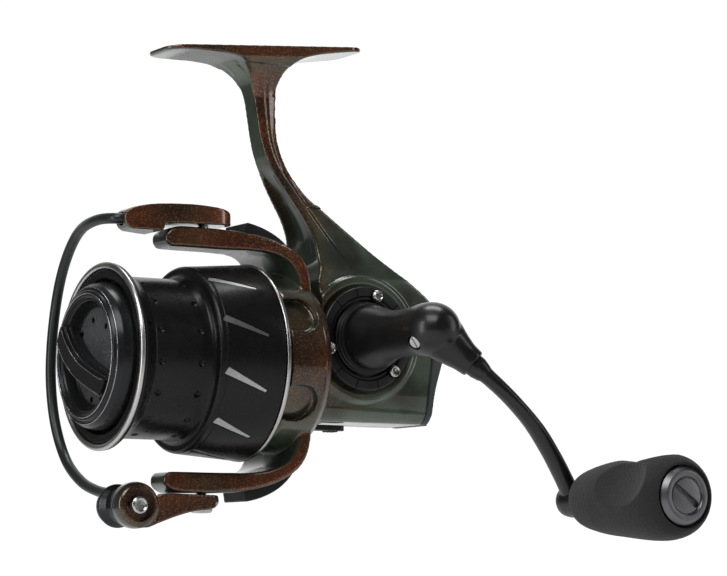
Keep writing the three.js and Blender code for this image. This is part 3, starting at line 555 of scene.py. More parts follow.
COVER_POSTS = [(-15.4, -10.4), (11.4, 8.6), (3.2, 17)]
RING_SCREW_ANGLES = (75, -45, -165)
RING_SCREW_CIRCLE = 11.3
SPLIT_Y = 4.0


def step(low, high, value):
    t = min(max((value - low) / (high - low), 0.0), 1.0)
    return t * t * (3 - 2 * t)


def along(line, key, value, wanted):
    """Reads one coordinate of a line where the other has a value."""
    for a, b in zip(line, line[1:]):
        if min(a[key], b[key]) <= value <= max(a[key], b[key]) and a[key] != b[key]:
            f = (value - a[key]) / (b[key] - a[key])
            return a[wanted] + f * (b[wanted] - a[wanted])
    return None


def on_crank_circle(radius, degrees):
    angle = math.radians(degrees)
    return (CRANK[0] + radius * math.cos(angle), CRANK[1] + radius * math.sin(angle))


def housing_blank():
    outline = HALF_WIDTHS + [(-w, z) for w, z in HALF_WIDTHS[::-1]]
    side = prism("blank", SIDE_OUTLINE, -12.5, 12.5)
    return keep(side, prism("front", outline, -60, 40, "X"))


def foot_blank():
    side = spline([
        (-28.7, -1.0), (-20, -1.5), (-12.5, -2.2), (-8.6, -3.2), (-5.6, -6.0), (-3.9, -9.2),
        (-2.4, -12.5),
    ], 6)
    side += spline([
        (2.0, -12.5), (3.4, -9.8), (5.2, -6.2), (8.6, -3.6), (13, -2.4), (20, -1.6), (28.7, -1.0),
    ], 6)
    side += [(28.7, 0), (-28.7, 0)]
    corner = 5.0
    arc = [(corner * math.sin(a), corner * math.cos(a)) for a in (k * math.pi / 20 for k in range(11))]
    quarter = [(28.7 - corner + u, 8 - corner + v) for u, v in arc]
    plan = quarter + [(x, -y) for x, y in quarter[::-1]]
    plan += [(-x, -y) for x, y in quarter] + [(-x, y) for x, y in quarter[::-1]]
    across = spline([(-8, -2.9), (-6.8, -4.4), (-5.3, -6.8), (-4.1, -9.8), (-3.2, -13.5)], 6)
    across = across + [(-u, v) for u, v in across[::-1]]
    across += [(8, 1), (-8, 1)]
    foot = keep(prism("foot", side, -8, 8), prism("plan", plan, -14, 0.001, "Z"))
    foot = keep(foot, prism("across", across, -30, 30, "X"))
    return moved(foot, Matrix.Translation(SEAT) @ Matrix.Rotation(-SHAFT_TILT, 4, "Y"))


def shape_stem(obj):
    """Presses the stem's details into the skin: a scooped channel low on its front face, a ridge
    with a fine groove along each side higher up, and the flat web behind."""
    for vertex, normal in zip(obj.data.vertices, [v.normal.copy() for v in obj.data.vertices]):
        x, y, z = vertex.co
        if not 22 < z < 76:
            continue
        half = along(HALF_WIDTHS, 1, z, 0) or 3.4
        front = along(STEM_FRONT, 1, z, 0)
        if front is None:
            continue
        if normal.x < -0.35 and x < front + 2.5:
            inner = half - 0.9
            if abs(y) < inner:
                amount = step(24, 29, z) * (1 - step(44, 51, z))
                x += 2.4 * amount * (1 - (y / inner) ** 2)
        back = along(STEM_BACK, 1, z, 0) if z > 41 else along(HOUSING_BACK, 1, z, 0)
        if back is not None and abs(y) > 0.55 * half:
            u = (x - front) / (back - front)
            upper = step(44, 52, z) * (1 - step(70, 76, z))
            if 0 <= u <= 1:
                ridge = 1 - 0.3 * abs(u - 0.46)
                y *= 1 + upper * (ridge - 1)
                y -= math.copysign(0.22 * upper * math.exp(-((u - 0.5) / 0.07) ** 2), y)
            web = (x + 22.4) * 0.82 + (z - 42.5) * 0.57
            y -= math.copysign(0.55 * step(0, 0.9, web) * step(22, 25, z) * (1 - upper), y)
        vertex.co = (x, y, z)
    obj.data.update()
    return obj


def frame_shell():
    rim = [(-9, 0), (-9, 16.3), (-12.6, 16.3), (-13.2, 15.7), (-13.2, 14.1), (-12.8, 13.7), (-12.8, 0)]
    circle = keep(
        lathe("circle", soften(rim, 0.35), "Y", CRANK),
        block("limit", (-20.3, -14, -14.6), (40, 0, 30)))
    bulge = keep(disc("bulge", -22.4, -19, 16.6), block("limit", (-23, -12.8, -17), (-18, 17, 17)))
    neck = disc("neck", -37, -19, 13)
    shell = fused(housing_blank(), foot_blank(), circle, bulge, neck)
    carve(shell, block("cover room", (-20.3, SPLIT_Y, -20), (40, 17, 23.7)))
    carve(shell, prism("cavity", CAVITY, -10.2, SPLIT_Y + 0.3))
    carve(shell, disc("gear pocket", -8.9, SPLIT_Y + 0.3, 12.4, "Y", CRANK))
    carve(shell, disc("bearing seat", -14, -10, 7.8, "Y", CRANK))
    for lo, hi, radius in ((-38, -28.4, 11.2), (-28.6, -24.6, 7.3), (-24.8, -18, 5.2)):
        carve(shell, disc("seat", lo, hi, radius))
    carve(shell, disc("lever hole", -16, -12.5, 1.8, "Z", (-15.4, 0), 32))
    for angle in RING_SCREW_ANGLES:
        at = on_crank_circle(RING_SCREW_CIRCLE, angle)
        carve(shell, disc("hole", -14, -10.6, 1.3, "Y", at, 24))
    return shape_stem(skin(shell, 0.3, 5))


def cover_shell():
    shell = keep(housing_blank(), block("half", (-20, SPLIT_Y + 0.3, -20), (40, 13, 23.4)))
    carve(shell, prism("cavity", CAVITY, SPLIT_Y - 0.3, 10.2))
    combine(shell, disc("boss", 8.6, 11.6, 8.6, "Y", CRANK), "UNION")
    for at in COVER_POSTS:
        carve(shell, disc("well", 11, 12.6, 2.3, "Y", at, 40))
    carve(shell, disc("cap seat", 8.3, 12.6, 6.9, "Y", CRANK))
    return skin(shell, 0.26, 4)


def handle_ring():
    ring = lathe("ring", soften([
        (-13.3, 9.7), (-13.3, 13.2), (-14.6, 13.2), (-14.9, 12.9), (-14.9, 10.9), (-14.5, 10.5),
        (-14.5, 9.9), (-14.2, 9.7), (-13.3, 9.7),
    ], 0.15), "Y", CRANK, 192)
    grooves = []
    for i in range(12):
        low_corner = (CRANK[0] + 10.7, -15.2, CRANK[1] - 0.13)
        high_corner = (CRANK[0] + 13.6, -14.55, CRANK[1] + 0.13)
        groove = block("groove", low_corner, high_corner)
        grooves.append(moved(groove, about_crank(15 + 30 * i)))
    carve(ring, joined(*grooves))
    seats = []
    for angle in RING_SCREW_ANGLES:
        at = on_crank_circle(RING_SCREW_CIRCLE, angle)
        seats.append(disc("seat", -15.2, -14.1, 1.95, "Y", at, 48))
    return carve(ring, joined(*seats))


def socket_screw(at, tip, seat, crown, shank, head, socket):
    """A button-head screw along Y with a hexagonal socket and a sunk rim."""
    profile = [
        (crown + 0.35, 0), (crown + 0.35, socket * 1.12), (crown, socket * 1.45),
        (crown, head * 0.72), (crown + 0.28, head * 0.92), (crown + 0.7, head), (seat, head),
        (seat, shank), (tip, shank), (tip, 0),
    ]
    screw = lathe("screw", soften(profile, 0.12, 3), "Y", at, 72)
    return carve(screw, disc("socket", crown - 0.2, crown + 1.0, socket, "Y", at, 6))


def cover_screw(at):
    head_line = [(12.45, 0), (12.45, 1.5), (12.1, 2), (11.35, 2), (11.35, 0)]
    screw = fused(
        lathe("screw", soften(head_line, 0.1), "Y", at, 64),
        disc("shank", -4, 11.5, 1.1, "Y", at, 24))
    slot = block("slot", (at[0] - 2.2, 12.0, at[1] - 0.3), (at[0] + 2.2, 12.7, at[1] + 0.3))
    return carve(screw, slot)


def rear_guard():
    line = [(12.9, -14.6)] + [(x, z) for x, z in HOUSING_BACK if -14 < z < 11][::-1]
    guard = prism("guard", band(line, -0.35, -1.85), -7.4, 7.4)
    inner = [(x - 1.5 - 2.0 * step(-8, 8, z), z) for x, z in line if z < 9.5]
    outer = [(x + 1.2, z) for x, z in inner]
    wing = moved(housing_blank(), Matrix.Translation((0.25, 0, 0)) @ Matrix.Diagonal((1, 1.035, 1, 1)))
    edge = [(x + 6, z) for x, z in outer]
    keep(wing, prism("room", inner + edge[::-1], -13.5, -7))
    return skin(fused(guard, wing), 0.16, 4)


def lever():
    tab = prism("tab", [(x - 11.9, y) for x, y in bar_outline(7, 2.1)], -16.35, -14.95, "Z")
    ribs = [
        block("rib", (-11.4 + 1.1 * i, -1.7, -16.75), (-11.0 + 1.1 * i, 1.7, -16.1)) for i in range(3)
    ]
    stub = disc("stub", -15.2, -13.1, 1.5, "Z", (-15.4, 0), 40)
    return skin(joined(tab, stub, *ribs), 0.12, 3)


place(frame_shell(), "frame_shell", "frame", BODY_PAINT, ["frame_body"], "body_paint")
place(cover_shell(), "cover_shell", "frame", BODY_PAINT, ["side_cover"], "body_paint")
place(rear_guard(), "rear_guard_strip", "frame", GUARD_GREY, ["rear_guard"], "black_plastic")
place(handle_ring(), "handle_ring_plate", "frame", BLACK_PLASTIC, ["handle_ring"], "black_plastic")
for i, angle in enumerate(RING_SCREW_ANGLES, 1):
    at = on_crank_circle(RING_SCREW_CIRCLE, angle)
    place(socket_screw(at, -11, -14.3, -15.7, 0.8, 1.6, 0.85), f"ring_socket_screw_{i}", "frame",
          STEEL, [f"ring_screw_{i}"], "steel")
for i, at in enumerate(COVER_POSTS, 1):
    place(cover_screw(at), f"cover_slot_screw_{i}", "frame", STEEL, [f"cover_screw_{i}"], "steel")
cap = lathe("cap", soften([
    (11.8, 0), (11.8, 6.4), (12.35, 6.4), (12.35, 8.4), (13.4, 8.4), (14, 7.8), (14, 5.2),
    (13.7, 4.8), (13.7, 0),
], 0.2), "Y", CRANK)
carve(cap, block("coin slot", (CRANK[0] - 3.5, 13.2, CRANK[1] - 0.8), (CRANK[0] + 3.5, 14.3, CRANK[1] + 0.8)))
place(cap, "crank_side_cap", "frame", GUARD_GREY, ["shaft_end_cap"], "dark_metal")
place(lever(), "anti_reverse_tab", "lever", BLACK_PLASTIC, ["anti_reverse_lever"], "black_plastic")

# ------------------------------------------------------------------ crank and knob
def on_arm(points):
    return [(CRANK[0] + s * ARM_DIRECTION.x, y, CRANK[1] + s * ARM_DIRECTION.z) for s, y in points]


LOCK_SCREW_Y = -42.5
LOCK_SCREW_TILT = 20
LOCK_SCREW_TURN = 55


def lock_screw_place():
    turn = Matrix.Rotation(math.radians(LOCK_SCREW_TURN), 4, "Y") @ about_x(-LOCK_SCREW_TILT)
    return Matrix.Translation((CRANK[0], LOCK_SCREW_Y, CRANK[1])) @ turn


def collar():
    return lathe("collar", soften([
        (-14, 4), (-14, 9.3), (-14.75, 9.3), (-14.85, 9.0), (-15.2, 9.0), (-15.3, 9.15),
        (-15.8, 9.05), (-15.9, 8.7), (-16.2, 8.65), (-16.3, 8.85), (-16.9, 8.7), (-16.9, 4),
        (-14, 4),
    ], 0.12), "Y", CRANK, 192)


def handle_shank():
    outer = spline([
        (-17.3, 8.1), (-18.3, 8.2), (-21, 7.5), (-25, 6.5), (-30, 5.95), (-35, 6.0), (-39.5, 6.4),
        (-43, 6.7), (-46.5, 6.5), (-49.5, 5.3), (-51.7, 3.2), (-52.4, 0.6),
    ], 6)
    turned = lathe("shank", [(-16.1, 0), (-16.1, 3.5), (-17.3, 3.5)] + outer + [(-52.4, 0)], "Y", CRANK, 128)
    neck = tube(
        "neck", spline(on_arm([(0.5, -45.6), (4, -46.5), (7, -47.5), (9.6, -48.6), (12.3, -49.9)]), 5),
        [(5.2, 6.2), (5.0, 5.7), (4.4, 4.7), (3.8, 3.9), (3.55, 3.55)], 40)
    body = skin(fused(turned, neck), 0.28, 18)
    socket_path = on_arm([(7.4, -47.4), (10, -48.7), (13.2, -50.3)])
    socket = tube("socket", socket_path, [(3.05, 3.05), (3.05, 3.05)], 40)
    pocket = moved(disc("pocket", -9, -3.4, 1.95, "Z", (0, 0), 48), lock_screw_place())
    carve(body, socket, pocket)
    return body


def lock_screw():
    screw = lathe("lock", soften([
        (-6.6, 0), (-6.6, 1.4), (-6.3, 1.7), (-5.4, 1.7), (-5.4, 1.0), (-3.8, 1.0), (-3.8, 0),
    ], 0.1), "Z", (0, 0), 56)
    carve(screw, block("slot", (-2, -0.28, -6.9), (2, 0.28, -6.15)))
    return moved(screw, lock_screw_place())


def handle_arm():
    path = spline(on_arm([
        (7.9, -47.7), (11.8, -49.5), (17, -51.6), (24, -53.4), (33, -53.8), (42, -51.8),
        (51, -48.6), (58.2, -45.6),
    ]), 8)
    sizes = [
        (2.4, 2.4), (2.4, 2.4), (2.5, 2.0), (2.6, 1.85),
        (2.6, 1.75), (2.5, 1.75), (2.45, 1.9), (2.4, 2.3),
    ]
    arm = tube("arm", path, sizes, 32)
    sleeve_path = on_arm([(11.4, -49.3), (13.6, -50.3), (15.6, -51.1)])
    sleeve = tube("sleeve", sleeve_path, [(2.9, 2.9), (2.85, 2.85), (2.6, 2.3)], 32)
    boss = lathe("boss", soften([
        (-41.8, 0), (-41.8, 2.6), (-42.8, 3.9), (-45, 4.3), (-49, 4.2), (-50.5, 3.6), (-50.5, 0),
    ], 0.5), "Y", KNOB, 72)
    body = skin(fused(arm, sleeve, boss), 0.22, 8)
    return carve(body, disc("bore", -50.8, -43.8, 2.3, "Y", KNOB, 40))


def knob_grip():
    outer = spline([
        (-51.75, 6.1), (-52.3, 6.7), (-54, 7.35), (-57.5, 8.15), (-62, 8.9), (-68, 9.5), (-74, 10.1),
        (-80, 10.5), (-84.5, 10.35), (-87.8, 9.5), (-89.5, 8.3), (-89.95, 7.6),
    ], 6)
    profile = outer + [(-87.6, 7.5), (-87.6, 5.75), (-51.75, 5.75), outer[0]]
    grip = lathe("grip", profile, "Y", KNOB, 144)
    for turn in (0, 68):
        dish_line = soften([(-15, 0), (-15, 31), (0, 32.5), (15, 31), (15, 0)], 6, 8)
        dish = lathe("dish", dish_line, "X", (-75, 40.2), 256)
        spin = Matrix.Translation((KNOB[0], 0, KNOB[1])) @ Matrix.Rotation(math.radians(-turn), 4, "Y")
        carve(grip, moved(dish, spin))
    grip = skin(grip, 0.24, 12)
    pores = grip.modifiers.new("pores", "DISPLACE")
    texture = bpy.data.textures.new("foam_cells", "CLOUDS")
    texture.noise_scale = 0.55
    texture.noise_depth = 2
    pores.texture = texture
    pores.strength = 0.1
    pores.mid_level = 0.5
    return settle(grip)


def knob_cap():
    cap = lathe("cap", soften([
        (-87.9, 0), (-87.9, 7.1), (-89.5, 7.1), (-90.8, 6.0), (-90.8, 4.7), (-90.2, 4.45),
        (-90.2, 4.3), (-90.45, 4.15), (-90.45, 0),
    ], 0.14), "Y", KNOB, 144)
    turn = Matrix.Translation((KNOB[0], 0, KNOB[1])) @ Matrix.Rotation(math.radians(35), 4, "Y")
    slot = moved(prism("slot", bar_outline(6.8, 0.85), -91.2, -89.5), turn)
    return carve(cap, slot)


place(collar(), "shank_collars", "crank", BLACK_PLASTIC, ["shank_collar"], "black_plastic")
place(handle_shank(), "shank_and_neck", "crank", GLOSS_BLACK, ["handle_shank"], "black_handle")
place(lock_screw(), "arm_lock_screw", "crank", STEEL, ["lock_screw"], "steel")
place(handle_arm(), "crank_arm", "crank", GLOSS_BLACK, ["handle_arm"], "black_handle")
grip = place(knob_grip(), "knob_foam", "knob", FOAM, ["knob_grip"], "foam", 0)
place(knob_cap(), "knob_end_cap", "knob", CAP_GREY, ["knob_cap"], "bright_aluminium")

# ------------------------------------------------------------------ rotor
ARM_OUTER = spline([
    (-58.8, 32.2), (-57, 33), (-50, 33.1), (-44, 33), (-39, 32.6), (-34, 31.4), (-29.6, 29.2),
    (-26.4, 26), (-24.6, 22), (-24, 17),
])


def rotor_arm():
    inner = spline([
        (-26.8, 17), (-27.4, 21.4), (-29.2, 24.8), (-32.2, 26.9), (-36.5, 27.8), (-42, 27.9),
        (-58.6, 27.9),
    ], 6)
    side = prism("arm", ARM_OUTER + inner + [(-60, 29.3), (-60, 31)], -16, 16)
    half = spline([(-61, 3.6), (-57, 4.7), (-44, 5), (-38, 6.6), (-32, 10), (-27, 13.6), (-22, 15)], 6)
    plan = prism("plan", half + [(x, -y) for x, y in half[::-1]], 10, 40, "Z")
    return skin(keep(side, plan), 0.3, 14)


def rotor():
    cup = lathe("cup", soften([
        (-46.8, 3.7), (-46.8, 18.6), (-46, 19.8), (-45, 20.3), (-35, 20.3), (-33.8, 22.3),
        (-24.4, 22.6), (-22.4, 21.4), (-21.9, 20.2), (-21.9, 18.6), (-34, 18.4), (-43.6, 18),
        (-44.4, 17), (-44.4, 6.4), (-40.2, 6), (-40.2, 3.7), (-46.8, 3.7),
    ], 0.4), segments=200)
    arm = rotor_arm()
    other = copy_of(arm, MIRROR_Z)
    arms = carve(fused(arm, other), disc("inside", -62, 0, 18.8, segments=200))
    body = fused(cup, arms)
    for side in (1, -1):
        for up in (1, -1):
            lo, hi = sorted((12 * side, 26 * side))
            outline = [(x - 31, z + 10.9 * up) for x, z in bar_outline(2.2, 4.2)]
            carve(body, carve(
                prism("window", outline, lo, hi), disc("cup wall", -40, -20, 20.5, segments=200)))
    for lo, hi in ((29.6, 34), (-34, -29.6)):
        carve(body, disc("pivot", lo, hi, 1.5, "Z", (PIVOT_X, 0), 40))
    return skin(body, 0.3, 5)


def arm_cover():
    """The strip along an arm's outer side, sunk a little into the arm so that the two meet."""
    seat, outer_face, half_width = -0.15, 2.65, 5.7
    line = [p for p in ARM_OUTER if p[0] > -38.6][:-2]
    return skin(prism("cover", band(line, seat, outer_face), -half_width, half_width), 0.18, 5)


place(rotor(), "rotor_shell", "rotor_group", PAINT, ["rotor"], "rotor_paint")
upper_cover = arm_cover()
lower_cover = copy_of(upper_cover, MIRROR_Z)
for strip, name, node in (
    (upper_cover, "arm_cover_top", "arm_cover_holder_side"),
    (lower_cover, "arm_cover_bottom", "arm_cover_roller_side"),
):
    place(strip, name, "rotor_group", BLACK_PLASTIC, [node], "black_plastic")


# ------------------------------------------------------------------ bail
def bail_holder():
    side = spline([
        (-41.6, 34), (-41, 36), (-43, 37.6), (-50, 38.5), (-58, 38.5), (-66, 37.8), (-70, 36.4),
        (-70.7, 34.4), (-70.2, 32.6), (-68.6, 31.7),
    ], 6) + [(-61.2, 31.5), (-60.6, 33.5)]
    half = spline([(-71, 2.6), (-66, 4.2), (-58, 5.6), (-46, 6), (-42.6, 5), (-40.8, 2.4)], 6)
    plan = prism("plan", half + [(x, -y) for x, y in half[::-1]], 28, 42, "Z")
    shell = skin(keep(prism("holder", side, -7, 7), plan), 0.2, 16)
    carve(shell, disc("seat", 35.8, 39.5, 3.1, "Z", (PIVOT_X, 0), 64))
    carve(shell, disc("hole", 33, 36, 1.5, "Z", (PIVOT_X, 0), 40))
    return carve(shell, disc("wire socket", -72, -64, 1.75, "X", (0, 34.4), 40))


def pivot_screw():
    screw = lathe("pivot", soften([
        (30, 0), (30, 1.2), (36.1, 1.2), (36.1, 2.8), (37.4, 2.8), (37.9, 2.3), (37.9, 0),
    ], 0.15), "Z", (PIVOT_X, 0), 64)
    return carve(screw, disc("socket", 37.0, 38.3, 1.2, "Z", (PIVOT_X, 0), 6))


def bail_arm():
    side = spline([
        (-44.4, -33.5), (-43.8, -35.2), (-46, -36.7), (-53, -37.8), (-61, -39.8), (-66.5, -41.8),
    ], 6) + [(-69.4, -42), (-69.4, -33), (-64, -34.4), (-61, -33.4), (-58, -33.35)]
    plan = [
        (-69.4, -9), (-61, -8.4), (-54, -5.8), (-46, -4.6), (-43.9, -2.6), (-43.9, 2.6), (-46, 4.6),
        (-55, 4.4), (-60, -1.2), (-63, -5.2), (-69.4, -5.2),
    ]
    link = keep(prism("link", side, -10, 6), prism("plan", plan, -44, -30, "Z"))
    head = lathe("head", soften([
        (-9.6, 0), (-9.6, 4.7), (-9.0, 5.35), (-7.6, 5.75), (-5.2, 5.7), (-5.2, 0),
    ], 0.4), "Y", ROLLER, 96)
    body = skin(fused(link, head), 0.18, 10)
    carve(body, disc("hole", -39, -33, 1.5, "Z", (PIVOT_X, 0), 40))
    carve(body, disc("seat", -39.5, -35.8, 3.1, "Z", (PIVOT_X, 0), 64))
    carve(body, disc("recess", -10.5, -8.1, 4.0, "Y", ROLLER, 64))
    return carve(body, disc("bore", -8.2, -5, 1.5, "Y", ROLLER, 40))


def bail_wire():
    path = spline([
        (-66.6, 0, 34.4), (-71.4, 0, 34.4), (-72.9, 9, 34.8), (-70.8, 25, 32.4), (-68.5, 39.3, 21.3),
        (-68.4, 44, 1.4), (-68.2, 41.9, -12.8), (-67.8, 36.1, -23.2), (-68.8, 24.5, -29.6),
        (-69.2, 15, -32.2), (-69.4, 6.4, -33.4),
    ], 12)
    wire = tube("wire", path, [(1.38, 1.38), (1.38, 1.38)], 28, up=(1, 0.02, 0.01))
    cone = lathe("cone", soften([
        (9.2, 0), (9.2, 1.6), (8.2, 3.1), (5.2, 4.6), (3.4, 5.2), (3.4, 0),
    ], 0.5), "Y", ROLLER, 96)
    body = skin(fused(wire, cone), 0.2, 5)
    return carve(body, disc("bore", 3, 6.6, 1.5, "Y", ROLLER, 40))


def line_roller():
    return lathe("roller", soften([
        (-4.9, 3.2), (-4.9, 5.4), (-4.1, 5.4), (-2.6, 4.1), (0.6, 4.1), (2.3, 5.4), (3.1, 5.4),
        (3.1, 3.2), (-4.9, 3.2),
    ], 0.4, 5), "Y", ROLLER, 128)


place(bail_holder(), "bail_holder_shell", "bail", PAINT, ["bail_holder"], "rotor_paint")
place(bail_arm(), "bail_arm_shell", "bail", PAINT, ["bail_arm"], "rotor_paint")
place(bail_wire(), "bail_wire_loop", "bail", WIRE_BLACK, ["bail_wire"], "dark_metal")
upper_pivot = pivot_screw()
lower_pivot = copy_of(upper_pivot, MIRROR_Z)
place(upper_pivot, "pivot_screw_top", "rotor_group", STEEL, ["pivot_screw_holder_side"], "steel")
place(lower_pivot, "pivot_screw_bottom", "rotor_group", STEEL, ["pivot_screw_roller_side"], "steel")
place(socket_screw(ROLLER, 6.3, -8.4, -10.0, 1.2, 2.3, 1.15), "roller_socket_screw", "bail", STEEL,
      ["roller_screw"], "steel")
place(line_roller(), "line_roller_wheel", "roller", ROLLER_DARK, ["line_roller"], "dark_metal")

# ------------------------------------------------------------------ spool and drag
SKIRT_FRONT, SKIRT_REAR = -54.7, -37.3
SLASH_COUNT = 11
DIMPLES = 16
LIP_HOLES = 15


def slash_tool():
    outline = [(-53.7, -0.95), (-52.5, 0.95), (-41.5, -4.4), (-42.1, -5.1)]
    keep_zone = lathe("zone", [(-54, 22.9), (-54, 26), (-41, 26), (-41, 24.05), (-54, 22.9)], segments=180)
    return keep(prism("slash", outline, -26, -21), keep_zone)


def spool():
    body = lathe("spool", soften([
        (-62, 2.4), (-62, 14.3), (-75, 14.3), (-75, 15.4), (-72.4, 15.8), (-72.4, 18.9),
        (-75.6, 19.2), (-75.6, 21.2), (-75.1, 21.4), (-75.1, 23), (-74.6, 23.1), (-71.3, 20.4),
        (-70.6, 20), (-57, 20), (-55.4, 20.4), (SKIRT_FRONT, 21.3), (SKIRT_FRONT, 22.75),
        (-54.1, 23.35), (-53.05, 23.43), (-52.95, 23.3), (-52.8, 23.3), (-52.7, 23.46),
        (SKIRT_REAR, 24.75), (SKIRT_REAR, 23.5), (-52.6, 22), (-53.2, 18.4), (-59.4, 17.6),
        (-59.4, 5.6), (-53.4, 5.6), (-53.4, 2.4), (-62, 2.4),
    ], 0.3), segments=256)
    slash = slash_tool()
    cuts = [copy_of(slash, about_x(360 / SLASH_COUNT * (i + 0.3))) for i in range(SLASH_COUNT)]
    drop(slash)
    carve(body, joined(*cuts))
    dimples = []
    for x in (-69.0, -58.2):
        for i in range(DIMPLES):
            dimple = lathe("dimple", [(-20.6, 0), (-20.6, 1.05), (-19.8, 0.85), (-19.35, 0.3), (-19.35, 0)],
                           "Y", (x, 0), 24)
            dimples.append(moved(dimple, about_x(360 / DIMPLES * (i + 0.3))))
    for i in range(LIP_HOLES):
        hole = disc("hole", -24, -21.1, 0.55, "Y", (-73.0, 0), 20)
        dimples.append(moved(hole, about_x(360 / LIP_HOLES * (i + 0.25))))
    return carve(body, joined(*dimples))


def slash_inlay():
    """The bright cut floors of the slashes, a hair under the skirt's surface."""
    outline = [(-53.5, -0.8), (-52.5, 0.8), (-41.7, -4.45), (-42.1, -4.95)]
    zone_line = [(-53.7, 22.72), (-53.7, 23.18), (-41.2, 24.28), (-41.2, 23.82), (-53.7, 22.72)]
    thin = lathe("zone", zone_line, segments=180)
    inlay = keep(prism("inlay", outline, -26, -21), thin)
    copies = [copy_of(inlay, about_x(360 / SLASH_COUNT * (i + 0.3))) for i in range(SLASH_COUNT)]
    drop(inlay)
    return joined(*copies)


BAR_LINE = [(14, 8), (9, 1.6), (3.6, -2.6), (-3, -5.6), (-9, -7.8), (-14, -9)]
KNOB_FLOOR_HOLES = [(2.5, 9.0), (-4.5, 7.0), (-8.0, 1.5), (8.5, 6.0), (3.0, -10.5), (-2.0, -11.0)]


def drag_knob():
    cup = lathe("cup", soften([
        (-74.8, 0), (-74.8, 5.1), (-71, 5.1), (-71, 7.2), (-74.8, 7.4), (-75.3, 15.8), (-73, 16.2),
        (-73, 18.2), (-76, 18.3), (-78.2, 17.75), (-79.4, 16.95), (-79.5, 16.6), (-79.35, 16.4),
        (-79.5, 16.2), (-80.1, 15.9), (-80.2, 15.6), (-80.2, 14.7), (-80.0, 14.4), (-79.6, 14.3),
        (-79.5, 14.0), (-79.6, 13.7), (-79.3, 13.4), (-76.9, 12.6), (-76.4, 12.2), (-76.4, 0),
    ], 0.25, 4), segments=224)
    line = spline(BAR_LINE, 8)
    steps = [
        prism("step", band(line, -half, half), front, -76, "X")
        for half, front in ((3.0, -78.9), (2.45, -80.2), (1.85, -81.2))
    ]
    bar = keep(fused(*steps), disc("limit", -82, -75.5, 14.1, segments=128))
    body = fused(cup, skin(bar, 0.14, 2))
    return carve(body, joined(*knob_holes()))


def knob_holes():
    return [disc("hole", -77.2, -75.6, 0.8, "X", at, 24) for at in KNOB_FLOOR_HOLES]


def knob_edge_highlights():
    """Pale grey strips along the edges of the two front rims and of the grip bar, a painted highlight where
    these edges catch the light.
    """
    parts = []
    for x, radius in ((-79.42, 16.75), (-80.18, 15.2)):
        angles = [k * math.pi / 90 for k in range(180)]
        circle = [(x, radius * math.cos(a), radius * math.sin(a)) for a in angles]
        parts.append(ring_wire("rim", circle, 0.16))
    line = spline(BAR_LINE, 8)
    for half, x in ((1.85, -81.2), (-1.85, -81.2), (2.45, -80.2), (-2.45, -80.2)):
        rail = [(x, y, z) for y, z in offset_line(line, half) if math.hypot(y, z) < 13.9]
        parts.append(tube("rail", rail, [(0.16, 0.16), (0.16, 0.16)], 12, up=(1, 0, 0)))
    return joined(*parts)


def ring_wire(name, points, radius, sides=12):
    """A round wire along a closed line about the shaft axis."""
    bm = bmesh.new()
    rings = []
    for p in points:
        out = Vector((0, p[1], p[2])).normalized()
        spots = [2 * math.pi * k / sides for k in range(sides)]
        rings.append([
            bm.verts.new(Vector(p) + out * (radius * math.cos(a)) + Vector((radius * math.sin(a), 0, 0)))
            for a in spots
        ])
    for i, ring in enumerate(rings):
        ahead = rings[(i + 1) % len(rings)]
        for k in range(sides):
            n = (k + 1) % sides
            bm.faces.new([ring[k], ring[n], ahead[n], ahead[k]])
    return new_object(name, bm)


def knob_floor():
    """The paler floor that shows either side of the grip bar."""
    floor_line = [(-76.35, 0), (-76.62, 0), (-76.62, 11.6), (-76.5, 12), (-76.35, 12), (-76.35, 0)]
    plate = lathe("floor", soften(floor_line, 0.05))
    line = spline(BAR_LINE, 8)
    carve(plate, prism("bar room", band(line, -2.6, 2.6), -78, -76, "X"))
    return carve(plate, joined(*knob_holes()))


place(spool(), "spool_body", "spool_group", SPOOL_BLACK, ["spool"], "black_spool", 28)
inlay = place(slash_inlay(), "skirt_cut_floors", "spool_group", CUT_BRIGHT, [], "black_spool")
place(lathe("lip", soften([
    (-75.2, 21.5), (-75.2, 23.15), (-75.6, 23.2), (-76.05, 22.9), (-76.2, 22.5), (-76.2, 22.0),
    (-75.9, 21.6), (-75.2, 21.5),
], 0.25, 4), segments=256), "spool_lip", "spool_group", BRIGHT, ["spool_lip_ring"], "bright_aluminium")
place(lathe("ring", soften([
    (-37, 23.6), (-37, 24.85), (-36.4, 25), (-35.9, 24.7), (-35.9, 23.6), (-37, 23.6),
], 0.2), segments=256), "skirt_rear_ring", "spool_group", BRIGHT, ["skirt_ring"], "bright_aluminium")
place(drag_knob(), "drag_knob_body", "drag_setting", KNOB_BLACK, ["drag_knob"], "black_plastic", 30)
place(knob_floor(), "drag_knob_floor", "drag_setting", FLOOR_GREY, [], "black_plastic", 30)
# Painted highlight: pale strips along the knob's rim and bar edges.
place(knob_edge_highlights(), "drag_knob_painted_edge_highlights", "drag_setting", EDGE_HIGHLIGHT_GREY, [], "black_plastic", 30)
clip = skin(joined(
    disc("button", 23.55, 24.4, 2, "Y", (-49, 0), 64),
    prism("tongue", [(x - 47.4, z) for x, z in bar_outline(4.4, 1.15)], 23.85, 24.4)), 0.12, 3)
place(moved(clip, Matrix.Translation((0, 0.6, 0))), "line_clip_tab", "spool_group", ROLLER_DARK,
      ["line_clip"], "dark_metal")

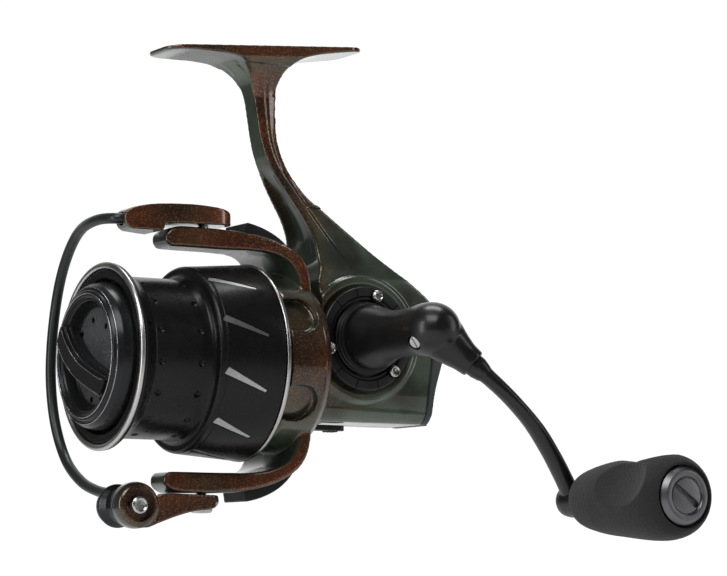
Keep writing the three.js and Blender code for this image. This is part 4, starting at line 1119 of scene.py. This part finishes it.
# ------------------------------------------------------------------ pieces kept as the CAD drew them
CAD_LOOKS = {
    STEEL: [
        "drive_shaft", "drive_bearing_crank_side", "drive_bearing_cover_side", "pinion_bearing",
        "one_way_clutch", "clutch_sleeve", "guide_rod", "main_shaft", "spool_seat_gear",
        "drag_plate_1", "drag_retainer", "knob_bearing_inner", "knob_bearing_outer",
        "knob_spindle", "knob_screw", "roller_bearing", "crosshead",
    ],
    BRASS: ["drive_gear", "pinion_gear", "pinion_rear_bush", "oscillation_gear", "rotor_nut", "drag_nut"],
    CARBON: ["drag_washer_1", "drag_washer_2"],
    BLACK_PLASTIC: ["clutch_retainer", "knob_core"],
}
for look, names in CAD_LOOKS.items():
    for name in names:
        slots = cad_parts[name].data.materials
        for k in range(len(slots)):
            slots[k] = look

# ------------------------------------------------------------------ camera, light and floor
CAMERA_AT = Vector((-0.34829, -0.59767, -0.10542))
CAMERA_RIGHT = Vector((0.84697, -0.52645, -0.07410))
CAMERA_UP = Vector((0.03035, -0.0913, 0.99537))
CAMERA_BACK = Vector((-0.53078, -0.84529, -0.06132))
FLOOR_Z = -0.19
FLOOR_RADIUS = 900

camera_data = bpy.data.cameras.new("camera")
camera_data.lens = 134.5
camera_data.sensor_width = 36
camera_data.clip_start = 0.01
camera = bpy.data.objects.new("camera", camera_data)
bpy.context.scene.collection.objects.link(camera)
turn = Matrix((CAMERA_RIGHT, CAMERA_UP, CAMERA_BACK)).transposed().to_4x4()
camera.matrix_world = Matrix.Translation(CAMERA_AT) @ turn
bpy.context.scene.camera = camera


def area_light(name, at, towards, size, power, tint=(1, 1, 1)):
    data = bpy.data.lights.new(name, "AREA")
    data.shape = "RECTANGLE"
    data.size, data.size_y = size
    data.energy = power
    data.color = tint
    light = bpy.data.objects.new(name, data)
    bpy.context.scene.collection.objects.link(light)
    light.location = at
    light.rotation_euler = (Vector(towards) - Vector(at)).to_track_quat("-Z", "Y").to_euler()
    return light


MIDDLE = (0.0, 0.0, -0.065)
area_light("key", (-0.45, -0.4, 0.6), MIDDLE, (0.6, 0.45), 4.2)
area_light("top", (0.15, 0.15, 0.7), MIDDLE, (0.5, 0.25), 3.0)
area_light("left", (-0.8, 0.0, 0.05), MIDDLE, (0.16, 0.7), 2.4)
area_light("right", (0.6, -0.5, 0.1), MIDDLE, (0.12, 0.6), 0.8)

# The studio is dim all round, with a white backdrop on the far side of the reel.
BACKDROP_LEVEL = 1.05
ROOM_LEVEL = 0.06

world = bpy.data.worlds.new("studio")
world.use_nodes = True
world_nodes, world_links = world.node_tree.nodes, world.node_tree.links
direction = world_nodes.new("ShaderNodeTexCoord")
towards = world_nodes.new("ShaderNodeVectorMath")
towards.operation = "DOT_PRODUCT"
towards.inputs[1].default_value = -CAMERA_BACK
world_links.new(direction.outputs["Generated"], towards.inputs[0])
level = world_nodes.new("ShaderNodeMapRange")
level.interpolation_type = "SMOOTHSTEP"
for key, value in (("From Min", 0.6), ("From Max", 0.95), ("To Min", ROOM_LEVEL), ("To Max", BACKDROP_LEVEL)):
    level.inputs[key].default_value = value
world_links.new(towards.outputs["Value"], level.inputs["Value"])
world_nodes["Background"].inputs["Color"].default_value = (1, 1, 1, 1)
world_links.new(level.outputs["Result"], world_nodes["Background"].inputs["Strength"])
bpy.context.scene.world = world
bpy.context.scene.view_settings.view_transform = "Standard"

floor = disc("floor", -2, 0, FLOOR_RADIUS, "Z", segments=128)
floor.data.transform(Matrix.Translation((0, 0, FLOOR_Z)) @ Matrix.Scale(0.001, 4))
floor_look = Look("pale_floor")
floor_look.colour(floor_look.mix(floor_look.noise(3), (0.86, 0.86, 0.86), (0.9, 0.9, 0.9)))
floor_look.rough(floor_look.ramp(floor_look.noise(20), 0, 1, 0.7, 0.8))
floor.data.materials.append(floor_look.material)
